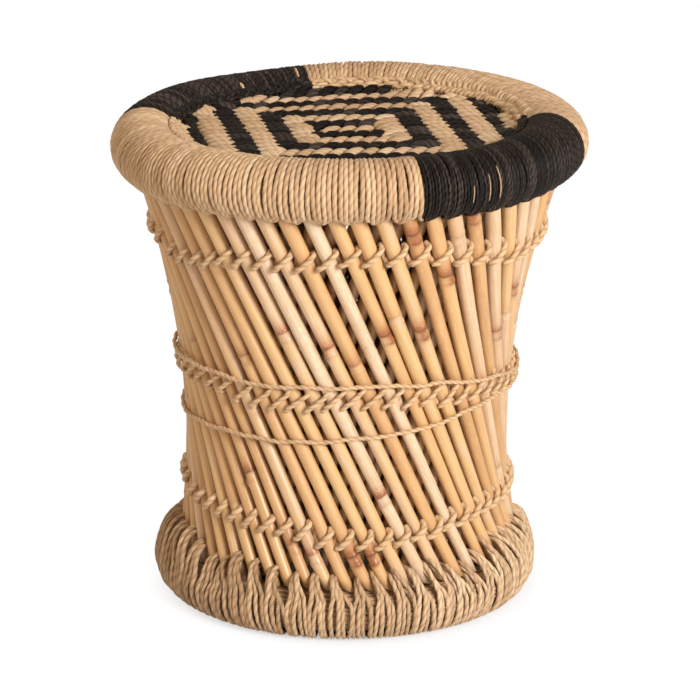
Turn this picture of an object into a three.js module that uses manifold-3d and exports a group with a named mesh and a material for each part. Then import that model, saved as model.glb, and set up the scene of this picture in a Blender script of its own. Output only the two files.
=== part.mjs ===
// A mudda: an hourglass stool of two layers of slanted canes, held between a cord-wound rim
// and a cord-wound foot ring, tied by three rows of lashing and two waist cords,
// with a seat of rope floats woven in concentric squares.
// Millimetres, +Z up, front towards -Y, origin on the floor under the middle of the seat.
import * as THREE from 'three';
import { mergeVertices } from 'three/addons/utils/BufferGeometryUtils.js';
import Module from 'manifold-3d';

const wasm = await Module();
wasm.setup();

// Rim ring
const stoolHeight = 400;
const rimRadius = 164.5;
const rimHalfWidth = 26.7;
const rimHalfHeight = 25.2;
const rimCord = 3.4;
const rimTopAngle = THREE.MathUtils.degToRad(72);

// Loops of the rim winding in each length of cord, from the left end of the front length
const rimFirstLoopCount = 25;
const frontLoopCount = 18;
const rightLoopCount = 11;
const backLoopCount = 15;

// Foot ring
const footRadius = 132;
const footHalfWidth = 23.6;
const footWidestHeight = 27;
const footLowerHeight = 9.5;
const footUpperHeight = 43;
const footPassHeight = 58;
const footCord = 4;
const footFlatDepth = 0.5;

// Canes
const canesPerLayer = 54;
const canesPerBundle = 3;
const caneSides = 6;
const caneTwistSteps = 8;
const caneFootShift = 1.5;
const caneRimShift = 1;
const caneSeatHeight = 40;
const layerClearance = 0.7;

// Hidden binding that holds the cane tops in the rim
const bindingHeight = 7;
const bindingDrop = 11.8;
const bindingMargin = 0.3;
const caneTopEmbed = 2;

// Seat
const seatThickness = 7.5;
const seatDrop = 16.5;
const seatRise = 5.1;
const seatRiseWidth = 15.5;
const seatTurn = THREE.MathUtils.degToRad(4);
const bandCount = 7;
const bandGap = 3;
const bandStretch = 2;
const edgeBandInset = 12;
const floatDepth = 2.2;

// Cords outside the canes
const lashingCord = 3.8;
const lashingRise = 5;
const waistCord = 3.8;
const braidCord = 3;
const cordSides = 5;

// Fits
const touchGap = 0.3;
const cordTouchGap = 0.6;
const seatGap = 0.6;
const slotGap = 0.8;
const loopGap = 0.6;
const grooveWidth = 3;
const cutOverrun = 20;
const mergeTolerance = 1e-4;

// How far the seat's squares lean towards +X for each step towards -Y
const seatLeanShare = 0.17;
// A cane's thickness, as a share of the distance from cane to cane
const caneThicknessShare = 0.5925;
// A cane's section seen level is a little wider than across the cane, because the cane leans
const leanShare = 1.04;
// Where a lashing's corners lie beside a cane, as a share of the distance to the next cane
const lashingReachShare = 0.27;

// Finishes
const straw = new THREE.MeshStandardMaterial({ color: 0xd9bd85, roughness: 0.42, metalness: 0 });
const strawInner = new THREE.MeshStandardMaterial({ color: 0xb8935a, roughness: 0.55, metalness: 0 });
const grass = new THREE.MeshStandardMaterial({ color: 0x9c7a4a, roughness: 0.85, metalness: 0 });
const naturalCord = new THREE.MeshStandardMaterial({ color: 0xc39a68, roughness: 0.8, metalness: 0 });
const blackCord = new THREE.MeshStandardMaterial({ color: 0x2a2826, roughness: 0.6, metalness: 0 });

const stool = new THREE.Group();
const pitch = (2 * Math.PI) / canesPerLayer;
const halfPitch = pitch / 2;
const rimHeight = stoolHeight - rimHalfHeight;
const caneFootRadius = footRadius + caneFootShift;
const caneRimRadius = rimRadius + caneRimShift;
const caneFootDiameter = caneThicknessShare * 2 * caneFootRadius * Math.sin(halfPitch);
const caneRimDiameter = caneThicknessShare * 2 * caneRimRadius * Math.sin(halfPitch);
const seatMiddleHeight = stoolHeight - seatDrop;
const seatEdgeHeight = seatMiddleHeight + seatRise;

function degrees(value) {
  return THREE.MathUtils.degToRad(value);
}

// A point at a radius, an azimuth and a height
function polar(radius, azimuth, height) {
  return new THREE.Vector3(radius * Math.cos(azimuth), radius * Math.sin(azimuth), height);
}

// Closed geometry to solid and back, keeping only positions
function solidOf(geometry) {
  const bare = new THREE.BufferGeometry();
  bare.setAttribute('position', geometry.getAttribute('position').clone());
  if (geometry.index) bare.setIndex(geometry.index.clone());
  const merged = mergeVertices(bare, mergeTolerance);
  const vertProperties = new Float32Array(merged.getAttribute('position').array);
  const triVerts = new Uint32Array(merged.index.array);
  return new wasm.Manifold(new wasm.Mesh({ numProp: 3, vertProperties, triVerts }));
}

function geometryOf(solid) {
  const mesh = solid.getMesh();
  const geometry = new THREE.BufferGeometry();
  geometry.setAttribute('position', new THREE.BufferAttribute(new Float32Array(mesh.vertProperties), 3));
  geometry.setIndex(new THREE.BufferAttribute(new Uint32Array(mesh.triVerts), 1));
  geometry.computeVertexNormals();
  return geometry;
}

// Signed volume of an indexed geometry, used to turn its faces outwards
function faceOutwards(geometry) {
  const position = geometry.getAttribute('position');
  const index = geometry.index.array;
  const a = new THREE.Vector3();
  const b = new THREE.Vector3();
  const c = new THREE.Vector3();
  let volume = 0;
  for (let i = 0; i < index.length; i += 3) {
    a.fromBufferAttribute(position, index[i]);
    b.fromBufferAttribute(position, index[i + 1]);
    c.fromBufferAttribute(position, index[i + 2]);
    volume += a.dot(b.cross(c));
  }
  if (volume < 0) {
    for (let i = 0; i < index.length; i += 3) {
      [index[i], index[i + 1]] = [index[i + 1], index[i]];
    }
  }
  geometry.computeVertexNormals();
  return geometry;
}

function add(name, geometry, material) {
  const mesh = new THREE.Mesh(geometry, material.clone());
  mesh.name = name;
  stool.add(mesh);
}

// Skin joining rings of points: closed end to end, or with a flat cap at each end
function skin(rings, closed) {
  const count = rings[0].length;
  const positions = [];
  const index = [];
  for (const ring of rings) {
    for (const point of ring) positions.push(point.x, point.y, point.z);
  }
  const spans = closed ? rings.length : rings.length - 1;
  for (let i = 0; i < spans; i += 1) {
    const from = i * count;
    const to = ((i + 1) % rings.length) * count;
    for (let j = 0; j < count; j += 1) {
      const next = (j + 1) % count;
      index.push(from + j, to + j, to + next);
      index.push(from + j, to + next, from + next);
    }
  }
  if (!closed) {
    const last = (rings.length - 1) * count;
    for (let j = 1; j < count - 1; j += 1) {
      index.push(0, j, j + 1);
      index.push(last, last + j + 1, last + j);
    }
  }
  const geometry = new THREE.BufferGeometry();
  geometry.setAttribute('position', new THREE.Float32BufferAttribute(positions, 3));
  geometry.setIndex(new THREE.BufferAttribute(new Uint32Array(index), 1));
  return faceOutwards(geometry);
}

// Ring turned about the stool's axis, with a corner under every cane's azimuth
function turned(profile) {
  const points = profile.map(([radius, height]) => new THREE.Vector2(radius, height));
  const geometry = new THREE.LatheGeometry(points, canesPerLayer);
  geometry.rotateX(Math.PI / 2);
  geometry.rotateZ(Math.PI / 2);
  return faceOutwards(mergeVertices(positionsOnly(geometry), mergeTolerance));
}

function positionsOnly(geometry) {
  geometry.deleteAttribute('normal');
  geometry.deleteAttribute('uv');
  return geometry;
}

function closedProfile(points) {
  return [...points, points[0]];
}

// One cane's straight axis, through a point at the foot and a point at the rim.
// The inner layer is the outer one drawn in by one share, so both layers turn alike.
function caneLine(layer, azimuth) {
  const foot = polar(caneFootRadius * layer.share, azimuth, footPassHeight);
  const rimAzimuth = azimuth + layer.turn * caneTwistSteps * pitch;
  const rim = polar(caneRimRadius * layer.share, rimAzimuth, rimPassHeight);
  const direction = rim.clone().sub(foot).normalize();
  return { foot, direction };
}

function canePoint(line, height) {
  const run = (height - line.foot.z) / line.direction.z;
  return line.foot.clone().addScaledVector(line.direction, run);
}

function caneDiameterAt(height) {
  const share = (height - footPassHeight) / (rimPassHeight - footPassHeight);
  return caneFootDiameter + share * (caneRimDiameter - caneFootDiameter);
}

function layerRadiusAt(layer, height) {
  const point = canePoint(caneLine(layer, 0), height);
  return Math.hypot(point.x, point.y);
}

// How far round a cane of the layer has turned at a height, from its azimuth at the foot
function layerTurnAt(layer, height) {
  const point = canePoint(caneLine(layer, 0), height);
  return Math.atan2(point.y, point.x);
}

const rimCordRadiusAcross = rimHalfWidth - rimCord / 2;
const rimCordRadiusUp = (rimHalfHeight - rimCord / 2) / Math.sin(rimTopAngle);
const rimPassHeight = rimHeight - rimCordRadiusUp * Math.sin(rimTopAngle);

const outerLayer = { name: 'outer_canes', share: 1, turn: -1 };
const waistHeight = lowestRadiusHeight();
const innerLayer = {
  name: 'inner_canes',
  share: 1 - (caneDiameterAt(waistHeight) + layerClearance) / layerRadiusAt(outerLayer, waistHeight),
  turn: 1,
};

function lowestRadiusHeight() {
  const line = caneLine(outerLayer, 0);
  const flat = new THREE.Vector2(line.direction.x, line.direction.y);
  const run = -(line.foot.x * flat.x + line.foot.y * flat.y) / flat.lengthSq();
  return line.foot.z + run * line.direction.z;
}

// Outlines of the two wound rings, followed by the middle of the cord's thickness.
// Each row ends in three shares of how the bundle of turns lies there, and a layer:
// spread, from gathered between two canes to as wide as a loop may be;
// advance, how far it has moved on towards the next gap; and the layer whose gap it follows.
const rimStepShares = [
  [252, 0, 0, innerLayer],
  [288, 0, 0, outerLayer],
  [324, 0.9, 0, null],
  [0, 1, 0, null],
  [36, 1, 0, null],
  [72, 1, 0, null],
  [108, 1, 0, null],
  [144, 1, 0, null],
  [198, 0.25, 1, innerLayer],
];

const footCordFloor = footCord / 2 - footFlatDepth;
const footStepShares = [
  [-0.74, footPassHeight, 0, 0, innerLayer],
  [0.42, footPassHeight, 0, 0, outerLayer],
  [0.84, footUpperHeight, 0.75, 0, null],
  [1, footWidestHeight, 1, 0, null],
  [0.82, footLowerHeight, 1, 0, null],
  [0.42, footCordFloor, 1, 0, null],
  [-0.46, footCordFloor, 1, 0, null],
  [-1, footWidestHeight, 0.7, 0.5, null],
];

const rimRing = {
  cord: rimCord,
  passHeight: rimPassHeight,
  outline: rimStepShares.map(([angle, spread, advance, lane]) => ({
    radius: rimRadius + rimCordRadiusAcross * Math.cos(degrees(angle)),
    height: rimHeight + rimCordRadiusUp * Math.sin(degrees(angle)),
    spread,
    advance,
    lane,
  })),
};

const footRing = {
  cord: footCord,
  passHeight: footPassHeight,
  outline: footStepShares.map(([across, height, spread, advance, lane]) => ({
    radius: footRadius + across * (footHalfWidth - footCord / 2),
    height,
    spread,
    advance,
    lane,
  })),
};

// 1 where the outline runs so that its corner normals already point outwards, else -1
function side(outline) {
  let area = 0;
  outline.forEach((step, i) => {
    const next = outline[(i + 1) % outline.length];
    area += step.radius * next.height - next.radius * step.height;
  });
  return Math.sign(area);
}

// Outward normal of a closed outline at each corner, long enough to keep the sides parallel
function cornerNormals(outline) {
  const hand = side(outline);
  return outline.map((step, i) => {
    const before = outline[(i + outline.length - 1) % outline.length];
    const after = outline[(i + 1) % outline.length];
    const into = new THREE.Vector2(step.radius - before.radius, step.height - before.height).normalize();
    const away = new THREE.Vector2(after.radius - step.radius, after.height - step.height).normalize();
    const first = new THREE.Vector2(into.y, -into.x);
    const second = new THREE.Vector2(away.y, -away.x);
    const middle = first.clone().add(second).normalize();
    return middle.multiplyScalar(hand / middle.dot(first));
  });
}

// Corners of the outline moved outwards by a distance
function offsetCorners(outline, distance) {
  const normals = cornerNormals(outline);
  return outline.map((step, i) => [
    step.radius + normals[i].x * distance,
    step.height + normals[i].y * distance,
  ]);
}

// Width left for a gathered bundle between two canes, at a height, for a cord of a thickness
function gatheredWidth(height, thickness) {
  const radius = layerRadiusAt(innerLayer, height);
  const lean = layerTurnAt(innerLayer, height + thickness) - layerTurnAt(innerLayer, height);
  const shift = radius * Math.tan(lean);
  const slope = shift / thickness;
  const caneWidth = caneDiameterAt(height) * Math.hypot(1, slope);
  return 2 * radius * Math.sin(halfPitch) - caneWidth - shift - 2 * touchGap;
}

// Four corners of the flattened bundle at one step of one loop, cut flat where it meets the floor
function bundleSection(ring, normal, step, turn, gathered) {
  const lane = step.lane;
  const laneTurn = lane ? layerTurnAt(lane, step.height) - layerTurnAt(lane, ring.passHeight) : 0;
  const azimuth = (turn + step.advance) * pitch + halfPitch + laneTurn;
  const corners = [];
  for (const face of [-1, 1]) {
    const reach = (face * ring.cord) / 2;
    const radius = step.radius + normal.x * reach;
    const height = Math.max(step.height + normal.y * reach, 0);
    const full = 2 * radius * Math.tan(halfPitch) - loopGap / Math.cos(halfPitch);
    const crown = face > 0 ? grooveWidth * step.spread : 0;
    const half = (gathered + step.spread * (full - gathered) - crown) / 2;
    for (const hand of face > 0 ? [1, -1] : [-1, 1]) {
      const point = polar(radius, azimuth, height);
      point.addScaledVector(polar(1, azimuth + Math.PI / 2, 0), hand * half);
      corners.push(point);
    }
  }
  return corners;
}

// Sections of one unbroken bundle wound round a ring for a number of loops
function windingSections(ring, firstTurn, loops) {
  const normals = cornerNormals(ring.outline);
  const gathered = gatheredWidth(ring.passHeight, ring.cord);
  const sections = [];
  for (let turn = firstTurn; turn < firstTurn + loops; turn += 1) {
    ring.outline.forEach((step, i) => {
      sections.push(bundleSection(ring, normals[i], step, turn, gathered));
    });
  }
  return sections;
}

// Least distance between points on the edges of one loop and of the next
function leastGap(sections, stepsPerLoop) {
  const samples = 6;
  const edgePoints = sections.slice(0, -1).map((section, i) => {
    const points = [];
    section.forEach((corner, j) => {
      for (let s = 0; s < samples; s += 1) {
        points.push(corner.clone().lerp(sections[i + 1][j], s / samples));
      }
    });
    return points;
  });
  let least = Infinity;
  for (let i = 0; i < edgePoints.length; i += 1) {
    const first = i + stepsPerLoop - 2;
    for (let k = first; k < Math.min(first + 5, edgePoints.length); k += 1) {
      for (const a of edgePoints[i]) {
        for (const b of edgePoints[k]) least = Math.min(least, a.distanceTo(b));
      }
    }
  }
  return least;
}

function wind(name, ring, firstTurn, loops, material) {
  const sections = windingSections(ring, firstTurn, loops);
  add(name, skin(sections, false), material);
  const gap = leastGap(sections, ring.outline.length);
  console.log(`${name}: ${loops} loops, least gap to itself ${gap.toFixed(2)} mm`);
}

// Canes stand in bundles of three, held at the top by a hidden segment of binding
function cane(layer, azimuth, bottom, top) {
  const line = caneLine(layer, azimuth);
  const low = canePoint(line, bottom);
  const high = canePoint(line, top);
  const geometry = new THREE.CylinderGeometry(
    caneDiameterAt(top) / 2,
    caneDiameterAt(bottom) / 2,
    low.distanceTo(high),
    caneSides,
  );
  const waist = canePoint(line, waistHeight);
  const outward = new THREE.Vector3(waist.x, waist.y, 0);
  outward.addScaledVector(line.direction, -outward.dot(line.direction)).normalize();
  const across = line.direction.clone().cross(outward);
  const place = new THREE.Matrix4().makeBasis(across, line.direction, outward);
  place.setPosition(low.clone().add(high).multiplyScalar(0.5));
  geometry.applyMatrix4(place);
  return sawLevel(geometry, line.direction, bottom, top);
}

// Slides each end corner along the cane until the end is level
function sawLevel(geometry, direction, bottom, top) {
  const position = geometry.getAttribute('position');
  const middle = (bottom + top) / 2;
  const corner = new THREE.Vector3();
  for (let i = 0; i < position.count; i += 1) {
    corner.fromBufferAttribute(position, i);
    const target = corner.z > middle ? top : bottom;
    corner.addScaledVector(direction, (target - corner.z) / direction.z);
    position.setXYZ(i, corner.x, corner.y, corner.z);
  }
  return positionsOnly(geometry);
}

const bindingBottom = rimHeight - bindingDrop;
const bindingTop = bindingBottom + bindingHeight;
const caneTop = bindingBottom + caneTopEmbed;

function bindingReach(layer) {
  const low = layerRadiusAt(layer, bindingBottom) - caneDiameterAt(bindingBottom) / 2;
  const high = layerRadiusAt(layer, caneTop) + caneDiameterAt(caneTop) / 2;
  return { low: low - bindingMargin, high: high + bindingMargin };
}

function bindingSegment(layer, azimuth) {
  const reach = bindingReach(layer);
  const middleRadius = (reach.low + reach.high) / 2;
  const half = (canesPerBundle * pitch) / 2 - touchGap / 2 / middleRadius;
  const shape = new THREE.Shape();
  for (let i = 0; i <= canesPerBundle; i += 1) {
    const angle = azimuth - half + (2 * half * i) / canesPerBundle;
    const point = polar(reach.high, angle, 0);
    if (i === 0) shape.moveTo(point.x, point.y);
    else shape.lineTo(point.x, point.y);
  }
  for (let i = canesPerBundle; i >= 0; i -= 1) {
    const angle = azimuth - half + (2 * half * i) / canesPerBundle;
    const point = polar(reach.low, angle, 0);
    shape.lineTo(point.x, point.y);
  }
  shape.closePath();
  const geometry = new THREE.ExtrudeGeometry(shape, { depth: bindingHeight, bevelEnabled: false });
  geometry.translate(0, 0, bindingBottom);
  return positionsOnly(geometry);
}

function caneBundle(layer, number) {
  const middle = (number * canesPerBundle + (canesPerBundle - 1) / 2) * pitch;
  let bundle = solidOf(bindingSegment(layer, middle + layerTurnAt(layer, bindingBottom)));
  for (let i = 0; i < canesPerBundle; i += 1) {
    const azimuth = (number * canesPerBundle + i) * pitch;
    bundle = bundle.add(solidOf(cane(layer, azimuth, caneSeatHeight, caneTop)));
  }
  return geometryOf(bundle);
}

function addCanes(layer, material) {
  for (let number = 0; number < canesPerLayer / canesPerBundle; number += 1) {
    const label = String(number + 1).padStart(2, '0');
    add(`${layer.name}_${label}`, caneBundle(layer, number), material);
  }
}

// Cores of the two rings, drawn in from the winding, and open where the canes enter
function rectangleRing(low, high, bottom, top) {
  return turned(closedProfile([[low, bottom], [high, bottom], [high, top], [low, top]]));
}

function coreOf(ring) {
  return solidOf(turned(closedProfile(offsetCorners(ring.outline, -(ring.cord / 2 + touchGap)))));
}

function addRimCore() {
  const inner = bindingReach(innerLayer).low - slotGap;
  const outer = bindingReach(outerLayer).high + slotGap;
  const slotBottom = rimHeight - rimHalfHeight - cutOverrun;
  const slot = solidOf(rectangleRing(inner, outer, slotBottom, bindingTop + touchGap));
  add('rim_core', geometryOf(coreOf(rimRing).subtract(slot)), grass);
}

function addFootCore() {
  const inner = footRadius - footHalfWidth - cutOverrun;
  const outer = footRadius + footHalfWidth + cutOverrun;
  const top = footPassHeight + cutOverrun;
  const bed = solidOf(rectangleRing(inner, outer, caneSeatHeight - touchGap, top));
  add('foot_core', geometryOf(coreOf(footRing).subtract(bed)), grass);
}

// Windings: one unbroken bundle of turns for each length of cord, one loop for each cane gap
function addWindings() {
  const leftLoopCount = canesPerLayer - frontLoopCount - rightLoopCount - backLoopCount;
  const rimLengths = [
    ['rim_winding_natural_front', frontLoopCount, naturalCord],
    ['rim_winding_black_right', rightLoopCount, blackCord],
    ['rim_winding_natural_back', backLoopCount, naturalCord],
    ['rim_winding_black_left', leftLoopCount, blackCord],
  ];
  let turn = rimFirstLoopCount;
  for (const [name, loops, material] of rimLengths) {
    wind(name, rimRing, turn, loops, material);
    turn += loops;
  }
  const footLengths = ['front', 'right', 'left'];
  const loops = canesPerLayer / footLengths.length;
  footLengths.forEach((place, i) => {
    const frontTurn = Math.floor(0.75 * canesPerLayer);
    wind(`foot_winding_${place}`, footRing, frontTurn + i * loops - loops / 2, loops, naturalCord);
  });
}

// Closed cord along points: round section, mitred at each point, its flat side to the canes
function closedCord(points, diameter) {
  const rings = points.map((point, i) => {
    const before = points[(i + points.length - 1) % points.length];
    const after = points[(i + 1) % points.length];
    const into = point.clone().sub(before).normalize();
    const away = after.clone().sub(point).normalize();
    const along = into.clone().add(away).normalize();
    const stretch = 1 / Math.max(along.dot(into), 0.5);
    const outward = new THREE.Vector3(point.x, point.y, 0).normalize();
    outward.addScaledVector(along, -outward.dot(along)).normalize();
    const across = along.clone().cross(outward);
    return sectionRing(point, outward, across, stretch, diameter);
  });
  return skin(rings, true);
}

function sectionRing(point, outward, across, stretch, diameter) {
  const ring = [];
  for (let j = 0; j < cordSides; j += 1) {
    const angle = ((j + 0.5) / cordSides) * 2 * Math.PI;
    const corner = point.clone();
    corner.addScaledVector(outward, (Math.cos(angle) * diameter) / 2);
    corner.addScaledVector(across, (Math.sin(angle) * stretch * diameter) / 2);
    ring.push(corner);
  }
  return ring;
}

// Outermost reach of the outer canes at a height
function outsideRadiusAt(height) {
  return layerRadiusAt(outerLayer, height) + (leanShare * caneDiameterAt(height)) / 2;
}

// Height along a hand-made row or cord: a smooth curve through pairs of azimuth and share of height
function heightAlong(route, azimuth) {
  const turn = THREE.MathUtils.euclideanModulo(azimuth, 2 * Math.PI);
  const curve = route.map(([angle, share]) => [
    degrees(THREE.MathUtils.euclideanModulo(angle, 360)),
    share * stoolHeight,
  ]);
  curve.sort((a, b) => a[0] - b[0]);
  const count = curve.length;
  let i = curve.findIndex(([angle]) => angle > turn);
  if (i < 0) i = count;
  const from = curve[(i + count - 1) % count];
  const to = curve[i % count];
  const span = THREE.MathUtils.euclideanModulo(to[0] - from[0], 2 * Math.PI);
  const run = THREE.MathUtils.euclideanModulo(turn - from[0], 2 * Math.PI) / span;
  const ease = run * run * (3 - 2 * run);
  return from[1] + ease * (to[1] - from[1]);
}

// Rows of lashing: azimuth in degrees, and height as a share of the stool's
const upperRowShares = [
  [-90, 0.8], [-60, 0.7825], [-30, 0.755], [0, 0.765], [60, 0.775], [120, 0.77], [180, 0.77],
  [-155, 0.76], [-125, 0.785],
];
const waistRowShares = [
  [-90, 0.4825], [-50, 0.47], [-20, 0.475], [40, 0.4775], [100, 0.475], [160, 0.48], [-165, 0.49],
  [-135, 0.48],
];
const lowerRowShares = [
  [-90, 0.2], [-60, 0.215], [-25, 0.2275], [30, 0.23], [90, 0.22], [150, 0.23], [-170, 0.235],
  [-140, 0.2225], [-115, 0.22],
];

// A lashing climbs over each outer cane and drops in the gap beside it
function addLashing(name, route) {
  const points = [];
  for (let i = 0; i < canesPerLayer; i += 1) {
    const roughHeight = heightAlong(route, i * pitch);
    const azimuth = i * pitch + layerTurnAt(outerLayer, roughHeight);
    const height = heightAlong(route, azimuth);
    for (const hand of [-1, 1]) {
      const cornerHeight = height + hand * lashingRise;
      const radius = outsideRadiusAt(cornerHeight) + cordTouchGap + lashingCord / 2;
      points.push(polar(radius, azimuth + hand * lashingReachShare * pitch, cornerHeight));
    }
  }
  add(name, closedCord(points, lashingCord), naturalCord);
}

// Waist cords, in the same terms, and lifted where they lie over the lashing
const upperWaistShares = [
  [-90, 0.5275], [-60, 0.5225], [-36, 0.51], [-20, 0.49], [-8, 0.475], [10, 0.48], [40, 0.5],
  [80, 0.515], [120, 0.5175], [160, 0.52], [-168, 0.5225], [-140, 0.5225], [-115, 0.52],
];
const lowerWaistShares = [
  [-90, 0.415], [-62, 0.43], [-45, 0.4425], [-32, 0.45], [-12, 0.4525], [20, 0.445], [50, 0.425],
  [90, 0.4075], [130, 0.4], [165, 0.395], [-168, 0.3925], [-145, 0.3975], [-115, 0.405],
];

function addWaistCord(name, route) {
  const lashingReach = lashingRise + lashingCord + waistCord / 2;
  const points = [];
  for (let i = 0; i < canesPerLayer; i += 1) {
    const azimuth = (i + 0.5) * pitch;
    const height = heightAlong(route, azimuth);
    const clear = Math.abs(height - heightAlong(waistRowShares, azimuth)) - lashingReach;
    const lift = (1 - THREE.MathUtils.smoothstep(clear, 0, waistCord)) * (lashingCord + cordTouchGap);
    const radius = outsideRadiusAt(height) + cordTouchGap + waistCord / 2 + lift;
    points.push(polar(radius, azimuth, height));
  }
  add(name, closedCord(points, waistCord), naturalCord);
}

// Seat: a shallow dish with black rope floats let into it in concentric squares
function seatEdgeRadius(height) {
  const [high, low] = offsetCorners(rimRing.outline, rimCord / 2).slice(-2);
  const share = (height - low[1]) / (high[1] - low[1]);
  return low[0] + share * (high[0] - low[0]) - seatGap;
}

function seatDish() {
  const bottom = seatMiddleHeight - seatThickness;
  return solidOf(turned([
    [0, bottom],
    [seatEdgeRadius(bottom), bottom],
    [seatRadius, seatEdgeHeight],
    [seatFlatRadius, seatMiddleHeight],
    [0, seatMiddleHeight],
  ]));
}

const seatRadius = seatEdgeRadius(seatEdgeHeight);
const seatFlatRadius = seatRadius - seatRiseWidth;

function seatTopAt(radius) {
  return seatMiddleHeight + (Math.max(radius - seatFlatRadius, 0) * seatRise) / seatRiseWidth;
}

// Everything under the seat's top face once it is lowered, reaching past the seat's edge
function seatBed(lowered) {
  const bottom = seatMiddleHeight - seatThickness - cutOverrun;
  const edge = seatRadius + cutOverrun;
  return solidOf(turned([
    [0, bottom],
    [edge, bottom],
    [edge, seatTopAt(edge) - lowered],
    [seatFlatRadius, seatMiddleHeight - lowered],
    [0, seatMiddleHeight - lowered],
  ]));
}

function rectangle(path, halfX, halfY) {
  path.moveTo(-halfX, -halfY);
  path.lineTo(halfX, -halfY);
  path.lineTo(halfX, halfY);
  path.lineTo(-halfX, halfY);
  path.closePath();
  return path;
}

// Bands are counted from the middle. The last one ends at the seat's edge.
const bandPitch = (seatRadius - edgeBandInset) / bandCount;
const bandWidth = bandPitch - bandGap;

// Middle of a numbered band, across and in depth
function bandMiddleX(number) {
  return number * bandPitch + bandStretch;
}

function bandMiddleY(number) {
  return number * bandPitch;
}

// Square frame of floats, number counted from the middle, drawn in on both sides by a gap
function frameShape(number, gap) {
  const halfX = bandMiddleX(number) + bandWidth / 2 - gap;
  const halfY = bandMiddleY(number) + bandWidth / 2 - gap;
  const width = bandWidth - 2 * gap;
  const shape = rectangle(new THREE.Shape(), halfX, halfY);
  shape.holes.push(rectangle(new THREE.Path(), halfX - width, halfY - width));
  return shape;
}

function seatBlock(shape, shiftX, shiftY) {
  const depth = 2 * cutOverrun;
  const geometry = new THREE.ExtrudeGeometry(shape, { depth, bevelEnabled: false });
  geometry.translate(shiftX, shiftY, seatMiddleHeight - cutOverrun);
  geometry.applyMatrix4(new THREE.Matrix4().makeShear(0, 0, -seatLeanShare, 0, 0, 0));
  geometry.rotateZ(seatTurn);
  return solidOf(positionsOnly(geometry));
}

function barBlock(hand, gap) {
  const halfLength = bandMiddleX(1) + bandWidth / 2 - gap;
  const shape = rectangle(new THREE.Shape(), halfLength, bandWidth / 2 - gap);
  return seatBlock(shape, 0, hand * bandMiddleY(1));
}

// Outermost band: a straight strip on one side, cut off by the seat's round edge
function edgeBlock(quarter, gap) {
  const alongX = quarter % 2 === 1;
  const hand = quarter < 2 ? 1 : -1;
  const half = bandWidth / 2 - gap;
  const long = bandMiddleX(bandCount);
  const shape = alongX ? rectangle(new THREE.Shape(), long, half) : rectangle(new THREE.Shape(), half, long);
  const shiftX = alongX ? 0 : hand * bandMiddleX(bandCount);
  const shiftY = alongX ? hand * bandMiddleY(bandCount) : 0;
  return seatBlock(shape, shiftX, shiftY);
}

function addSeat() {
  const floats = [
    ['seat_black_bar_back', (gap) => barBlock(1, gap)],
    ['seat_black_bar_front', (gap) => barBlock(-1, gap)],
    ['seat_black_square_inner', (gap) => seatBlock(frameShape(3, gap), 0, 0)],
    ['seat_black_square_outer', (gap) => seatBlock(frameShape(5, gap), 0, 0)],
    ['seat_black_edge_right', (gap) => edgeBlock(0, gap)],
    ['seat_black_edge_back', (gap) => edgeBlock(1, gap)],
    ['seat_black_edge_left', (gap) => edgeBlock(2, gap)],
    ['seat_black_edge_front', (gap) => edgeBlock(3, gap)],
  ];
  const dish = seatDish();
  const recessBed = seatBed(floatDepth);
  const floatBed = seatBed(floatDepth - touchGap);
  let base = dish;
  for (const [name, block] of floats) {
    base = base.subtract(block(0).subtract(recessBed));
    add(name, geometryOf(block(touchGap).intersect(dish).subtract(floatBed)), blackCord);
  }
  add('seat_weave_natural', geometryOf(base), naturalCord);
}

// Braid along part of the rim's inner edge, lying on the seat
function addBraid() {
  const start = degrees(8);
  const sweep = degrees(76);
  const steps = 16;
  const radius = seatRadius - braidCord / 2;
  const height = seatTopAt(radius) + touchGap + braidCord / 2;
  const curve = new THREE.CatmullRomCurve3(
    Array.from({ length: steps + 1 }, (_, i) => polar(radius, start + (sweep * i) / steps, height)),
  );
  const section = new THREE.Shape();
  for (let j = 0; j < cordSides; j += 1) {
    const angle = (j / cordSides) * 2 * Math.PI;
    const x = (Math.cos(angle) * braidCord) / 2;
    const y = (Math.sin(angle) * braidCord) / 2;
    if (j === 0) section.moveTo(x, y);
    else section.lineTo(x, y);
  }
  const geometry = new THREE.ExtrudeGeometry(section, { steps, extrudePath: curve, bevelEnabled: false });
  add('rim_braid', faceOutwards(mergeVertices(positionsOnly(geometry), mergeTolerance)), naturalCord);
}

addCanes(outerLayer, straw);
addCanes(innerLayer, strawInner);
addRimCore();
addFootCore();
addWindings();
addLashing('upper_lashing', upperRowShares);
addLashing('waist_lashing', waistRowShares);
addLashing('lower_lashing', lowerRowShares);
addWaistCord('waist_cord_upper', upperWaistShares);
addWaistCord('waist_cord_lower', lowerWaistShares);
addSeat();
addBraid();

export default stool;
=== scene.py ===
# %% [markdown]
# # A mudda stool
# The stool is two layers of slanted canes held between a cord-wound rim and a cord-wound foot ring,
# with three rows of lashing, two waist cords and a seat of rope floats. Its solids come packed as a
# frame. Here each one gets the shape and finish that it really has. Lengths are in millimetres until
# a mesh is made, and then in metres, as Blender wants them.

import math

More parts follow.
